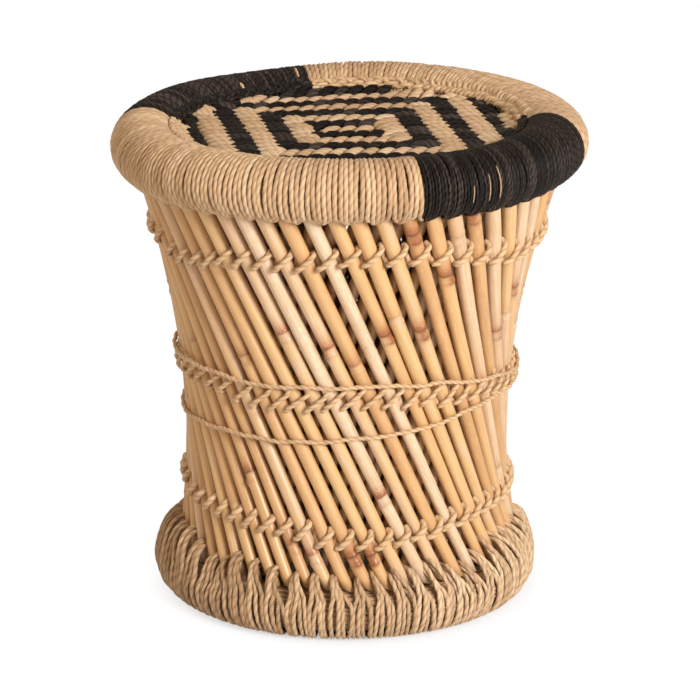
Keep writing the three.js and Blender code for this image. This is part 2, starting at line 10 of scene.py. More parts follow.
import bpy
import numpy as np
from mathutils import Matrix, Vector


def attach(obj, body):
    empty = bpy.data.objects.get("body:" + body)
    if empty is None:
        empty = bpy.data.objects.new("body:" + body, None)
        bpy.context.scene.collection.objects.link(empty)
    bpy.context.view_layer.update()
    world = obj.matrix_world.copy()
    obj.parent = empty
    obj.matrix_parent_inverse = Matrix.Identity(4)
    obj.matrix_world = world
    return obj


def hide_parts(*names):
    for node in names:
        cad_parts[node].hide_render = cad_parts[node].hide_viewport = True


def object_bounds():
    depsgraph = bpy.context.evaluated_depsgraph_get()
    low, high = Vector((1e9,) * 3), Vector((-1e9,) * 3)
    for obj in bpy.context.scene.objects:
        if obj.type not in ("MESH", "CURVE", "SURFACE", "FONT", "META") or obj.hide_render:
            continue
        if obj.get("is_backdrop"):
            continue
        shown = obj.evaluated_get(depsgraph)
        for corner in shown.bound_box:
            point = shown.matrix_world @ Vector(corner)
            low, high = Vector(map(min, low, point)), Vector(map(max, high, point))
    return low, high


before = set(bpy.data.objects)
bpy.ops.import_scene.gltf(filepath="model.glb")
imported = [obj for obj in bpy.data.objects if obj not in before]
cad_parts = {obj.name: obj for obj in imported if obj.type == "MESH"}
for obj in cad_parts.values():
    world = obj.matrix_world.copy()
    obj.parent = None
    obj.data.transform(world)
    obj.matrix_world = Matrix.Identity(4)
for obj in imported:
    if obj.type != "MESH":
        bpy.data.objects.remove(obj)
cad_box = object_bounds()
MM = 0.001
TAU = 2 * math.pi
chance = np.random.default_rng(54)
print("solids in the frame:", len(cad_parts))

# %% [markdown]
# ## The camera
# The photograph looks down a little, from far away with a long lens, so the rim's ellipse is flat and
# the canes keep their width from front to back. The camera stands where the two rings come out with
# the same ellipses. A shorter lens close by would show the rim rounder and the foot smaller.

# %% Camera
CAMERA_PLACE = (1.25 * MM, -3205.9 * MM, 1217.4 * MM)
LOOKS_DOWN = 0.308
LENS, SENSOR = 211.9, 36

lens = bpy.data.cameras.new("camera")
lens.lens = LENS
lens.sensor_width = SENSOR
camera = bpy.data.objects.new("camera", lens)
camera.location = CAMERA_PLACE
camera.rotation_euler = (math.pi / 2 - LOOKS_DOWN, 0, 0)
bpy.context.scene.collection.objects.link(camera)
bpy.context.scene.camera = camera
bpy.context.scene.view_settings.view_transform = "Standard"
print("camera looks down by", round(math.degrees(LOOKS_DOWN), 1), "degrees")

# %% [markdown]
# ## Sums on sockets
# A finish is a graph of nodes. Written out node by node it is long and hard to follow, so a small class
# wraps a socket: `fibre * 0.5 + 0.2` on it adds the Math nodes, and so does `1 - fibre`, where the plain
# number comes first. Colours go through Mix nodes, because a Math node would turn them grey.


# %% Finish writer
class Value:
    """A number that varies over a surface, on which ordinary sums work."""

    def __init__(self, finish, socket):
        self.finish = finish
        self.socket = socket

    def sum(self, operation, first, second):
        return self.finish.node("ShaderNodeMath", {"operation": operation}, {0: first, 1: second})

    def __add__(self, other):
        return self.sum("ADD", self, other)

    __radd__ = __add__

    def __sub__(self, other):
        return self.sum("SUBTRACT", self, other)

    def __rsub__(self, other):
        return self.sum("SUBTRACT", other, self)

    def __mul__(self, other):
        return self.sum("MULTIPLY", self, other)

    __rmul__ = __mul__


class Finish:
    """A material whose nodes are made by name, with their settings first and then their sockets."""

    def __init__(self, name, **constants):
        self.material = bpy.data.materials.new(name)
        self.material.use_nodes = True
        self.tree = self.material.node_tree
        self.surface = self.tree.nodes["Principled BSDF"]
        for socket, value in constants.items():
            self.surface.inputs[socket.replace("_", " ")].default_value = value

    def node(self, kind, settings, values, output=0):
        made = self.tree.nodes.new(kind)
        for name, setting in settings.items():
            if name == "stops":
                self.set_stops(made.color_ramp, setting)
            else:
                setattr(made, name, setting)
        for name, value in values.items():
            self.feed(self.find(made.inputs, name), value)
        return Value(self, self.find(made.outputs, output))

    def set_stops(self, ramp, stops):
        stops = list(stops)
        while len(ramp.elements) < len(stops):
            ramp.elements.new(1)
        for element, (place, colour) in zip(ramp.elements, stops):
            element.position = place
            element.color = (*colour, 1)

    def find(self, sockets, name):
        if isinstance(name, int):
            return sockets[name]
        return next(s for s in sockets if name in (s.identifier, s.name))

    def feed(self, socket, value):
        if isinstance(value, Value):
            self.tree.links.new(value.socket, socket)
        else:
            socket.default_value = value

    def attribute(self, name, output="Fac"):
        return self.node("ShaderNodeAttribute", {"attribute_name": name}, {}, output)

    def noise(self, vector, scale, detail, roughness=0.5):
        values = {"Vector": vector, "Scale": scale, "Detail": detail, "Roughness": roughness}
        return self.node("ShaderNodeTexNoise", {}, values, "Fac")

    def stretched(self, vector, factors):
        return self.node("ShaderNodeVectorMath", {"operation": "MULTIPLY"}, {0: vector, 1: factors})

    def blend(self, share, first, second, kind="MIX"):
        settings = {"data_type": "RGBA", "blend_type": kind}
        values = {"Factor_Float": share, "A_Color": first, "B_Color": second}
        return self.node("ShaderNodeMix", settings, values, "Result_Color")

    def ramp(self, value, stops):
        return self.node("ShaderNodeValToRGB", {"stops": stops}, {0: value}, "Color")

    def limits(self, value, low, high):
        values = {"Value": value, "From Min": low, "From Max": high}
        return self.node("ShaderNodeMapRange", {"interpolation_type": "SMOOTHSTEP"}, values, "Result")

    def paint(self, colour, roughness, height, depth):
        self.feed(self.surface.inputs["Base Color"], colour)
        self.feed(self.surface.inputs["Roughness"], roughness)
        values = {"Height": height, "Strength": 1.0, "Distance": depth}
        self.feed(self.surface.inputs["Normal"], self.node("ShaderNodeBump", {}, values, "Normal"))
        return self.material


def rgba(red, green, blue):
    return (red, green, blue, 1)


# %% [markdown]
# ## Natural cord
# The natural cord is hand-twisted grass: two plies, pale and matt, with fibres that run along each ply
# and a groove between the plies. A bump could draw the twist, but the plies show at the outline too,
# so the mesh has them, and the finish adds fibres and painted shade: the grooves between the plies, and
# the flanks where a turn lies against its neighbours, are painted darker. Each mesh point carries its
# place on the cord, so the fibres follow the cord wherever it turns, and a tone, so neighbouring turns
# differ a little. The cord of the foot is painted darker than that of the rim, as painted shade, and
# the twine of the rows is paler.

# %% Natural cord finish
FIBRE_STRETCH, PATCH_STRETCH = (1.9, 1.9, 0.16), (0.05, 0.05, 0.05)
FIBRE_STOPS = (0.22, 0.5, 0.78)
FIBRE_DEPTH = 0.35 * MM
# Painted shade: the tint that darkens the grooves between plies and the flanks between turns
GROOVE_SHADE_TINT = rgba(0.35, 0.25, 0.2)


def cord_finish(name, tints, roughness, sheen, groove_shade):
    """Tints are the dark, the middle and the light one of the fibres."""
    finish = Finish(name, Sheen_Weight=sheen, Sheen_Roughness=0.5)
    place = finish.attribute("grain", "Vector")
    tone = finish.attribute("tone")
    groove = finish.attribute("groove")
    fibre = finish.noise(finish.stretched(place, FIBRE_STRETCH), 1.0, 3.0, 0.6)
    patch = finish.noise(finish.stretched(place, PATCH_STRETCH), 1.0, 1.0)
    shade = fibre * 0.55 + tone * 0.3 + patch * 0.3 - 0.08
    colour = finish.ramp(shade, zip(FIBRE_STOPS, tints))
    # Painted shade in the grooves between plies and on the flanks between turns
    depth = finish.limits(groove, 0.1, -1.0)
    shaded = finish.blend(depth * groove_shade, colour, GROOVE_SHADE_TINT, "MULTIPLY")
    return finish.paint(shaded, fibre * 0.25 + roughness, fibre, FIBRE_DEPTH)


RIM_TINTS = (0.44, 0.26, 0.13), (0.62, 0.4, 0.22), (0.77, 0.56, 0.36)
TWINE_TINTS = (0.46, 0.27, 0.13), (0.66, 0.43, 0.23), (0.8, 0.58, 0.36)
# The foot's tints are darker than the rim's, as painted shade
FOOT_SHADED_TINTS = (0.38, 0.225, 0.11), (0.57, 0.37, 0.205), (0.76, 0.55, 0.345)
natural_cord = cord_finish("natural_cord", RIM_TINTS, roughness=0.65, sheen=0.08, groove_shade=0.35)
pale_cord = cord_finish("pale_cord", TWINE_TINTS, roughness=0.62, sheen=0.08, groove_shade=0.5)
foot_cord = cord_finish("foot_cord", FOOT_SHADED_TINTS, roughness=0.68, sheen=0.08, groove_shade=0.5)

# %% [markdown]
# ## Black cord
# The black cord is the same grass, dyed. It is thinner and smoother, and not a full black: a soft shine
# runs along its turns, and a few fibres have stayed grey. One flat black would look like plastic. So it is
# the same finish with three dark tints, the last one much lighter, and with weaker reflections than a new
# material has.

# %% Black cord finish
BLACK_TINTS = (0.005, 0.0033, 0.0027), (0.013, 0.009, 0.0075), (0.085, 0.062, 0.053)
BLACK_REFLECTION = 0.17
black_cord = cord_finish("black_cord", BLACK_TINTS, roughness=0.42, sheen=0.0, groove_shade=1.0)
black_surface = black_cord.node_tree.nodes["Principled BSDF"]
black_surface.inputs["Specular IOR Level"].default_value = BLACK_REFLECTION

# %% [markdown]
# ## Cane skin
# A cane has a hard, slightly glossy skin, from cream through straw to tan, with fine streaks along it.
# At each node there is a dark ridge, and a rusty stain beside it. A texture could place them, but they
# have to sit where the cane swells, so the mesh carries where they are. Canes differ by their tone, and
# the inner ones are painted darker, as painted shade inside the stool.

# %% Cane finish
STREAK_STRETCH, CLOUD_STRETCH, MOTTLE_STRETCH = (0.9, 0.9, 0.018), (0.13, 0.13, 0.03), (0.4, 0.4, 0.14)
SKIN_STOPS = [
    (0.0, (0.55, 0.28, 0.12)),
    (0.25, (0.68, 0.38, 0.165)),
    (0.45, (0.72, 0.45, 0.2)),
    (0.62, (0.71, 0.455, 0.28)),
    (0.8, (0.75, 0.535, 0.36)),
    (1.0, (0.77, 0.58, 0.425)),
]
MOTTLE_TINT, STREAK_TINT = rgba(0.62, 0.41, 0.2), rgba(0.5, 0.29, 0.12)
RUST_TINT, RIDGE_TINT = rgba(0.36, 0.125, 0.04), rgba(0.085, 0.03, 0.012)
# Painted shade: the dark brown towards which the inner canes are mixed
INNER_SHADE_TINT = rgba(0.11, 0.045, 0.016)
SKIN_DEPTH = 0.12 * MM


def cane_finish(name, inner_shade):
    finish = Finish(name, Coat_Weight=0.2, Coat_Roughness=0.2)
    place = finish.attribute("grain", "Vector")
    tone = finish.attribute("tone")
    streak = finish.noise(finish.stretched(place, STREAK_STRETCH), 1.0, 3.0, 0.55)
    cloud = finish.noise(finish.stretched(place, CLOUD_STRETCH), 1.0, 2.0)
    mottle = finish.noise(finish.stretched(place, MOTTLE_STRETCH), 1.0, 3.0, 0.6)
    speck = finish.noise(place, 0.55, 3.0, 0.65)
    skin = finish.ramp(tone * 0.8 + cloud * 0.7 - 0.25, SKIN_STOPS)
    mottled = finish.blend(finish.limits(mottle, 0.4, 0.66) * 0.45, skin, MOTTLE_TINT)
    streaked = finish.blend(finish.limits(streak, 0.42, 0.64) * 0.42, mottled, STREAK_TINT)
    rust = finish.attribute("stain") * finish.limits(speck, 0.1, 0.55)
    stained = finish.blend(rust * 0.95, streaked, RUST_TINT)
    ridge = finish.attribute("ridge")
    ridged = finish.blend(ridge * 0.85, stained, RIDGE_TINT)
    # Painted shade: the inner canes are mixed towards a dark brown
    shaded_inside = finish.blend(inner_shade, ridged, INNER_SHADE_TINT)
    return finish.paint(shaded_inside, streak * 0.2 + 0.3, streak + speck * 0.3, SKIN_DEPTH)


outer_cane = cane_finish("outer_cane", 0.0)
inner_cane = cane_finish("inner_cane", 0.2)

# %% [markdown]
# ## Grass hoop
# The hoops inside the windings are bundles of grass stalks. They show only as a brown band between the
# turns of the foot, so a streaky brown is enough, without a tone for each stalk.

# %% Grass hoop finish
STALK_STRETCH, STALK_DEPTH = (1.2, 1.2, 0.05), 0.3 * MM
STALK_STOPS = [(0.3, (0.3, 0.17, 0.08)), (0.5, (0.5, 0.31, 0.17)), (0.75, (0.66, 0.45, 0.27))]

hoop = Finish("grass_hoop")
stalk_place = hoop.attribute("grain", "Vector")
stalk_streak = hoop.noise(hoop.stretched(stalk_place, STALK_STRETCH), 1.0, 3.0)
stalk_colour = hoop.ramp(stalk_streak, STALK_STOPS)
grass_hoop = hoop.paint(stalk_colour, stalk_streak * 0.2 + 0.7, stalk_streak, STALK_DEPTH)
print("finishes:", len(bpy.data.materials))

# %% [markdown]
# ## Where the canes run
# Every cane is straight, apart from small bends. An outer one starts at the foot ring and leans one way
# round, an inner one leans the other way, and a straight line on a slant between two rings gives the
# hourglass its waist. Curved canes would give it too, but the real ones aren't curved. These are the
# same lines as in the solids. The inner layer is drawn in until the two clear each other at the waist.

# %% Cane lines
CANES = 54
PITCH = TAU / CANES
TWIST_STEPS = 8
RIM_RADIUS, RIM_HALF_WIDTH, RIM_HALF_HEIGHT, STOOL_HEIGHT = 164.5, 26.7, 25.2, 400.0
RIM_HEIGHT = STOOL_HEIGHT - RIM_HALF_HEIGHT
RIM_CORD = 3.4
RIM_PASS = RIM_HEIGHT - (RIM_HALF_HEIGHT - RIM_CORD / 2)
FOOT_RADIUS, FOOT_HALF_WIDTH, FOOT_PASS = 132.0, 23.6, 58.0
CANE_FOOT_RADIUS, CANE_RIM_RADIUS = FOOT_RADIUS + 0.2, RIM_RADIUS - 0.8
THICKNESS_SHARE = 0.6
CROSSING_SHARE, LAYER_CLEARANCE = 1.06, 0.7
CANE_BOTTOM, CANE_TOP = 36.0, 365.0


def around(radius, azimuth, height):
    azimuth = np.asarray(azimuth, float)
    parts = (radius * np.cos(azimuth), radius * np.sin(azimuth), height + 0 * azimuth)
    return np.stack(np.broadcast_arrays(*parts), -1)


def diameter_at(height):
    share = (height - FOOT_PASS) / (RIM_PASS - FOOT_PASS)
    radius = CANE_FOOT_RADIUS + share * (CANE_RIM_RADIUS - CANE_FOOT_RADIUS)
    return THICKNESS_SHARE * 2 * radius * math.sin(PITCH / 2)


def axis_at(layer, azimuth, height):
    """Points on the axis of a cane whose foot stands at azimuth."""
    foot = around(CANE_FOOT_RADIUS * layer["share"], azimuth, FOOT_PASS)
    rim = around(
        CANE_RIM_RADIUS * layer["share"], azimuth + layer["turn"] * TWIST_STEPS * PITCH, RIM_PASS
    )
    run = (np.asarray(height, float) - FOOT_PASS) / (RIM_PASS - FOOT_PASS)
    return foot + run[..., None] * (rim - foot)


OUTER = {"name": "outer", "share": 1.0, "turn": -1}


def radius_at(height):
    """How far out the outer canes are at a height."""
    point = axis_at(OUTER, 0.0, height)
    return np.hypot(point[..., 0], point[..., 1])


def turn_at(height):
    """How far round an outer cane has gone at a height, from where its foot stands."""
    point = axis_at(OUTER, 0.0, height)
    return np.arctan2(point[..., 1], point[..., 0])


heights = np.linspace(FOOT_PASS, RIM_PASS, 600)
WAIST = heights[np.argmin(radius_at(heights))]
inner_share = 1 - (CROSSING_SHARE * diameter_at(WAIST) + LAYER_CLEARANCE) / float(radius_at(WAIST))
INNER = {"name": "inner", "share": inner_share, "turn": 1}
print("waist at", round(float(WAIST), 1), "inner layer drawn in to", round(inner_share, 3))

# %% [markdown]
# ## From points to meshes
# Nearly every piece here is something long and thin that follows a line: a cane, a turn of cord, a float.
# A curve object with a bevel could be one, but its section can't twist, swell or carry a tone. So one
# function puts rings of points along a line. With two lobes that turn as they go, a ring becomes a
# two-ply cord, and the twist is real shape and not only shading.

# %% Rings along a line
# Moves the fibres of cords with different tones, and of neighbouring canes, to different places
CORD_APART, CANE_APART = 41, 57


def unit(vectors):
    return vectors / np.maximum(np.linalg.norm(vectors, axis=-1, keepdims=True), 1e-9)


def skin_faces(rings, sides, closed):
    """Corners of the four-sided faces between neighbouring rings of points."""
    spans = rings if closed else rings - 1
    row = (np.arange(spans)[:, None] * sides + np.arange(sides)[None, :]).ravel()
    right = np.tile((np.arange(sides) + 1) % sides, spans) - np.tile(np.arange(sides), spans)
    above = (row + sides) % (rings * sides)
    return np.stack([row, row + right, above + right, above], -1)


def frames_along(points, outward, closed):
    """Outward and sideways directions square to a line at each point, and the length run so far."""
    ahead = np.roll(points, -1, 0) - points
    behind = points - np.roll(points, 1, 0)
    if not closed:
        ahead[-1] = behind[-1]
        behind[0] = ahead[0]
    along = unit(unit(ahead) + unit(behind))
    out = unit(outward - (outward * along).sum(-1, keepdims=True) * along)
    side = np.cross(along, out)
    steps = np.linalg.norm(np.diff(points, axis=0), axis=1)
    return out, side, np.concatenate([[0], np.cumsum(steps)])


def rope(
    points, outward, radius, lay, sides, plies=2, depth=0.13, closed=False, tone=0.5, flat=1.0, flank_shade=0.0
):
    """A twisted cord along points, one twist to each length of lay. radius may vary along it, flat below
    1 presses it down, and the flank shade is painted shade that darkens the flanks with which it lies
    against its neighbours."""
    points = np.asarray(points, float)
    out, side, run = frames_along(points, outward, closed)
    if closed:
        whole = run[-1] + np.linalg.norm(points[0] - points[-1])
        lay = whole / max(round(whole / lay), 1)
    turned = TAU * run / lay + tone * TAU
    angle = TAU * np.arange(sides) / sides
    lobe = np.cos(plies * (angle[None, :] - turned[:, None]))
    radius = np.broadcast_to(radius, run.shape)[:, None] * (1 - depth * (1 - lobe))
    rim = radius[..., None] * (
        flat * np.cos(angle)[None, :, None] * out[:, None] + np.sin(angle)[None, :, None] * side[:, None]
    )
    fibre = angle[None, :] - 0.5 * turned[:, None]
    lengthwise = np.broadcast_to(run[:, None], fibre.shape)
    grain = np.stack([radius * np.cos(fibre) + CORD_APART * tone, radius * np.sin(fibre), lengthwise], -1)
    return {
        "points": (points[:, None] + rim).reshape(-1, 3),
        "rings": len(points),
        "sides": sides,
        "closed": closed,
        "grain": grain.reshape(-1, 3),
        "values": {
            # Painted shade: low in the grooves between plies and on the flanks against the neighbours
            "groove": (lobe - flank_shade * (1 - np.cos(angle)) ** 2).ravel(),
            "tone": np.full(lobe.size, tone),
        },
    }


# %% [markdown]
# ## From strands to a piece
# A piece is one mesh made of strands, such as three canes or all the floats of a square. Blender can
# take its points as one long list, which is far quicker than point by point. The real stool isn't quite
# round or level, so its small strays are added here, where every piece passes: a piece with a tilt rises
# to the front and sags at the left, and more behind on the left, and the body is slimmer at the right.

# %% Pieces from strands
# The tilt is a rise for each millimetre forwards, and the sag is a length that the tilt multiplies
RIM_TILT, RIM_SAG = 0.0078, 450.0
DENT_X, DENT_Y, DENT_REACH = -70, 150, 110
# How much slimmer, and the heights between which that begins below and ends above
SLIMMER, SLIM_FOOT, SLIM_TOP = 3.2, (40, 110), (340, 250)


def smooth(low, high, value):
    """0 at low, 1 at high and eased between them. low may be the larger one."""
    share = np.clip((value - low) / (high - low), 0, 1)
    return share * share * (3 - 2 * share)


def settle(points, tilt):
    """Moves points, in millimetres, as the real stool strays from round and level."""
    leftness = np.clip(-points[:, 0] / RIM_RADIUS, 0, 1)
    dent = smooth(DENT_REACH, 0, np.hypot(points[:, 0] - DENT_X, points[:, 1] - DENT_Y))
    points[:, 2] += tilt * (RIM_RADIUS - points[:, 1] - RIM_SAG * (leftness**1.5 + dent))
    rightness = np.clip(points[:, 0] / FOOT_RADIUS, 0, 1)
    waisted = smooth(*SLIM_FOOT, points[:, 2]) * smooth(*SLIM_TOP, points[:, 2])
    points[:, 0] -= SLIMMER * rightness**2 * waisted


def make_piece(name, strands, finish, nodes=(), tilt=0.0):
    """One mesh from strands, in metres. It rides the root body and replaces its solids."""
    offset = np.cumsum([0] + [len(s["points"]) for s in strands])
    corners, sizes = [], []
    for start, strand in zip(offset, strands):
        count, sides = strand["rings"], strand["sides"]
        faces = skin_faces(count, sides, strand["closed"])
        corners.append((faces + start).ravel())
        sizes.append(np.full(len(faces), 4))
        if not strand["closed"]:
            corners.append(np.arange(sides)[::-1] + start)
            corners.append(np.arange(sides) + start + (count - 1) * sides)
            sizes.append(np.array([sides, sides]))
    corners, sizes = np.concatenate(corners), np.concatenate(sizes)
    mesh = bpy.data.meshes.new(name)
    mesh.vertices.add(int(offset[-1]))
    points = np.concatenate([s["points"] for s in strands])
    settle(points, tilt)
    mesh.vertices.foreach_set("co", (points * MM).ravel())
    mesh.loops.add(len(corners))
    mesh.loops.foreach_set("vertex_index", corners.astype(np.int32))
    mesh.polygons.add(len(sizes))
    mesh.polygons.foreach_set("loop_start", (np.cumsum(sizes) - sizes).astype(np.int32))
    mesh.update(calc_edges=True)
    mesh.polygons.foreach_set("use_smooth", np.ones(len(sizes), bool))
    grain = np.concatenate([s["grain"] for s in strands]).astype(np.float32)
    mesh.attributes.new("grain", "FLOAT_VECTOR", "POINT").data.foreach_set("vector", grain.ravel())
    for key in strands[0]["values"]:
        values = np.concatenate([s["values"][key] for s in strands]).astype(np.float32)
        mesh.attributes.new(key, "FLOAT", "POINT").data.foreach_set("value", values)
    mesh.materials.append(finish)
    piece = bpy.data.objects.new(name, mesh)
    bpy.context.scene.collection.objects.link(piece)
    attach(piece, "root")
    if nodes:
        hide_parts(*nodes)
    print(f"{name}: {len(strands)} strands, {len(sizes)} faces")


# %% [markdown]
# ## Nodes of a cane
# At a node a cane has two fine ridges a few millimetres apart, a stain above the upper one, often the
# scar of a bud on one side, and its tone changes there. Each of these is a bump or a step along the
# cane, so they are added up ring by ring, as numbers. Modelled by hand they would all have to be made
# again for every cane. A table places the nodes that the photograph shows, and the other canes get
# faint ones by chance.

# %% Nodes
CANE_SIDES = 18
# Where rings of points lie near a node, measured up the cane from it
NODE_RINGS = np.array(
    [-20, -15, -12, -10.5, -9.2, -8, -6.8, -5.4, -4, -2.6, -1.2, 0, 1.2, 2.6, 4, 6, 9, 13]
)
# How far the lower ridge is below the upper one, and how oval a cane is
NODE_BAND, OVAL = 8.0, 0.015
CLEAR_OF_FOOT, CLEAR_OF_TOP = 16, 12
# Cane number, then distance from its foot end and strength of a node
SEEN_NODES = {
    **{0: (350, 0.7), 1: (224, 0.5), 3: (259, 0.6), 37: (102, 1.0), 38: (43, 0.7), 39: (36, 0.7)},
    **{40: (212, 0.5), 41: (35, 1.0), 42: (36, 1.0), 43: (240, 0.9), 44: (89, 1.0), 45: (229, 0.7)},
    **{46: (214, 0.7), 48: (241, 1.0), 50: (244, 0.9), 51: (338, 1.0), 52: (294, 0.9)},
}


def bump(value, middle, width):
    """1 where value is middle, fading to 0 on both sides of it."""
    return np.exp(-(((value - middle) / width) ** 2))


def node_places(layer, number, length):
    """Distances along a cane at which it has a node, and how strong each one is."""
    if layer is OUTER and number in SEEN_NODES:
        return [SEEN_NODES[number]]
    first = chance.uniform(-60, 300)
    places = [first, first + chance.uniform(230, 310)]
    shown = [place for place in places if CLEAR_OF_FOOT < place < length - CLEAR_OF_TOP]
    return [(place, chance.uniform(0.1, 0.45)) for place in shown]


def node_marks(run, angle, placed, tone):
    """Swelling, ridges and stains of a cane at each ring and side, and its tone at each ring."""
    swell = np.ones((len(run), CANE_SIDES)) + OVAL * np.cos(2 * angle + chance.uniform(0, TAU))
    ridge, stain = np.zeros((2, len(run), CANE_SIDES))
    tones = np.full_like(run, tone)
    for node, strength in placed:
        down = (node - run)[:, None]
        faced = np.cos(angle - chance.normal(0, 1.1))
        bud = np.maximum(faced, 0) ** 4
        swell += 0.06 * bump(down, 0, 1.1) + 0.05 * bump(down, NODE_BAND, 1.4)
        swell += strength * 0.25 * bud * bump(down, NODE_BAND, 3.4)
        swell -= 0.04 * bump(down, NODE_BAND / 2, 2.2)
        ridge += strength * bump(down, 0.2, 1.0) * (0.7 + 0.3 * faced)
        ridge += 0.6 * strength * bump(down, NODE_BAND, 1.0) * (0.4 + 0.6 * bud)
        above = smooth(1.0, -0.5, down) * np.exp(np.minimum(down, 0) / 6.5)
        within = smooth(-1, 1, down) * smooth(NODE_BAND + 5, NODE_BAND - 1, down)
        stain += strength * (2.1 * above + within * (0.3 + 1.2 * bud)) * (0.8 + 0.2 * faced)
        tones += 0.2 * within[:, 0] + chance.uniform(-0.4, 0.2) * smooth(0, 3, down[:, 0])
    return swell, ridge, stain, tones


# %% [markdown]
# ## Canes
# A cane is a straight tube that bends a little at its nodes. A cylinder could be bent there, but it
# couldn't swell, so a cane is made of rings of points, close together at the nodes and far apart
# elsewhere. Canes at the left of the stool have a darker tone, as painted shade, and those at the
# right a slightly darker one, also painted shade. They stray a millimetre from their even places, and
# are cut on a slant at the foot.

# %% Shape of one cane
EVEN_RINGS, TIP_CUT = 26, 8.5
BEND, STRAY, MOST_STRAY = 1.5, 0.8, 1.4
LEAST_WIDTH, MOST_WIDTH = 0.98, 1.14
# The first lifts the tone of every cane; the other two are painted shade, darker at the left and at the
# right
PALER, LEFT_CANE_SHADE, RIGHT_CANE_SHADE = 0.08, 0.42, 0.24


def cane(layer, number):
    low, high = axis_at(layer, number * PITCH, CANE_BOTTOM), axis_at(layer, number * PITCH, CANE_TOP)
    length = float(np.linalg.norm(high - low))
    along = (high - low) / length
    placed = node_places(layer, number, length)
    nodes = [place for place, strength in placed]
    side_seen = math.cos(number * PITCH + layer["turn"] * TWIST_STEPS / 2 * PITCH)
    # Painted shade: canes at the left and the right of the stool get a darker tone
    darker = LEFT_CANE_SHADE if side_seen < 0 else -RIGHT_CANE_SHADE
    tone = chance.uniform(0, 1) + PALER + side_seen * darker
    width = chance.uniform(LEAST_WIDTH, MOST_WIDTH)
    even = np.linspace(0, length, EVEN_RINGS)
    close = [node + NODE_RINGS for node in nodes]
    run = np.unique(np.clip(np.concatenate([even, *close]), 0, length).round(2))
    bend = np.interp(run, [0, *nodes, length], [0, *chance.uniform(-BEND, BEND, len(nodes)), 0])
    stray = np.clip(chance.normal(0, STRAY, 2), -MOST_STRAY, MOST_STRAY)
    centre = low + run[:, None] * along
    outward = around(1.0, np.arctan2(centre[:, 1], centre[:, 0]), 0.0)
    out = unit(outward - (outward @ along)[:, None] * along)
    side = np.cross(along, out)
    centre = centre + (bend + np.interp(run, [0, length], stray))[:, None] * side
    angle = TAU * np.arange(CANE_SIDES) / CANE_SIDES
    swell, ridge, stain, tones = node_marks(run, angle, placed, tone)
    reach = (diameter_at(centre[:, 2]) / 2 * width)[:, None] * swell
    across = np.cos(angle)[:, None] * out[:, None] + np.sin(angle)[:, None] * side[:, None]
    points = centre[:, None] + reach[..., None] * across
    slant = TIP_CUT * (0.5 + 0.5 * np.sin(angle) * layer["turn"])
    points[0] += slant[:, None] * along
    lengthwise = np.broadcast_to(run[:, None], reach.shape)
    grain = np.stack([reach * np.cos(angle) + CANE_APART * number, reach * np.sin(angle), lengthwise], -1)
    return {
        "points": points.reshape(-1, 3),
        "rings": len(run),
        "sides": CANE_SIDES,
        "closed": False,
        "grain": grain.reshape(-1, 3),
        "values": {
            "tone": np.repeat(np.clip(tones, 0, 1), CANE_SIDES),
            "ridge": ridge.ravel(),
            "stain": stain.ravel(),
        },
    }


# %% [markdown]
# The stool has 108 canes in two layers. Three neighbours make one piece here, as they make one solid in
# the frame, because a solid for each cane would be more than a part may have.

# %% Both layers of canes
CANES_TO_A_PIECE = 3
for layer, finish in ((OUTER, outer_cane), (INNER, inner_cane)):
    for bundle in range(CANES // CANES_TO_A_PIECE):
        canes = [cane(layer, CANES_TO_A_PIECE * bundle + k) for k in range(CANES_TO_A_PIECE)]
        name = f"{layer['name']}_cane_group_{bundle + 1:02d}"
        make_piece(name, canes, finish, [f"{layer['name']}_canes_{bundle + 1:02d}"])

# %% [markdown]
# ## Rim winding
# The cord goes down between two canes, under the hoop, up the inside, over the top and down again, five
# times for each gap between canes, and more often where it is black and thinner. On the outside the turns
# lie side by side. Under the rim they gather into the gap, and that gives the rim its scalloped lower edge.
# Grooves on a smooth ring could stand for the turns, but not for the way they gather, so each length of
# cord is one unbroken strand that really goes round.

# %% Turns of the rim
RIM_STEPS = 70
# In a gap the turns keep this share of their spacing, lie in three layers and hang lower in the middle
GAP_SHARE, LAYER_LIFT, GAP_HANG = 0.3, 1.5, 1.4
# The rim is this much fuller at the right
FULLER = 1.6
# The turns lie askew where the black cord ends at the right
BLACK_END, SKEW_REACH = math.radians(356), 0.5
SKEW, SKEW_SWING = 0.03, 0.13
# How unevenly turns are spaced, how far each wanders as a share of the spacing, and how far out it lies
SPACING_STRAY, WANDER, LIFT_STRAY = 0.06, 0.14, 0.16
# Depth of the groove between plies, and painted shade between turns, for the thick cord and the thin one
THIN, THICK_GROOVES, THIN_GROOVES = 3, (0.065, 1.3), (0.1, 2.4)
# Sines of the angle round the section between which the turns gather
GATHERS = (-1.0, -0.74)


def gap_middle(azimuth):
    """The azimuth of the middle of the gap between canes that an azimuth is in."""
    return (math.floor(azimuth / PITCH) + 0.5) * PITCH


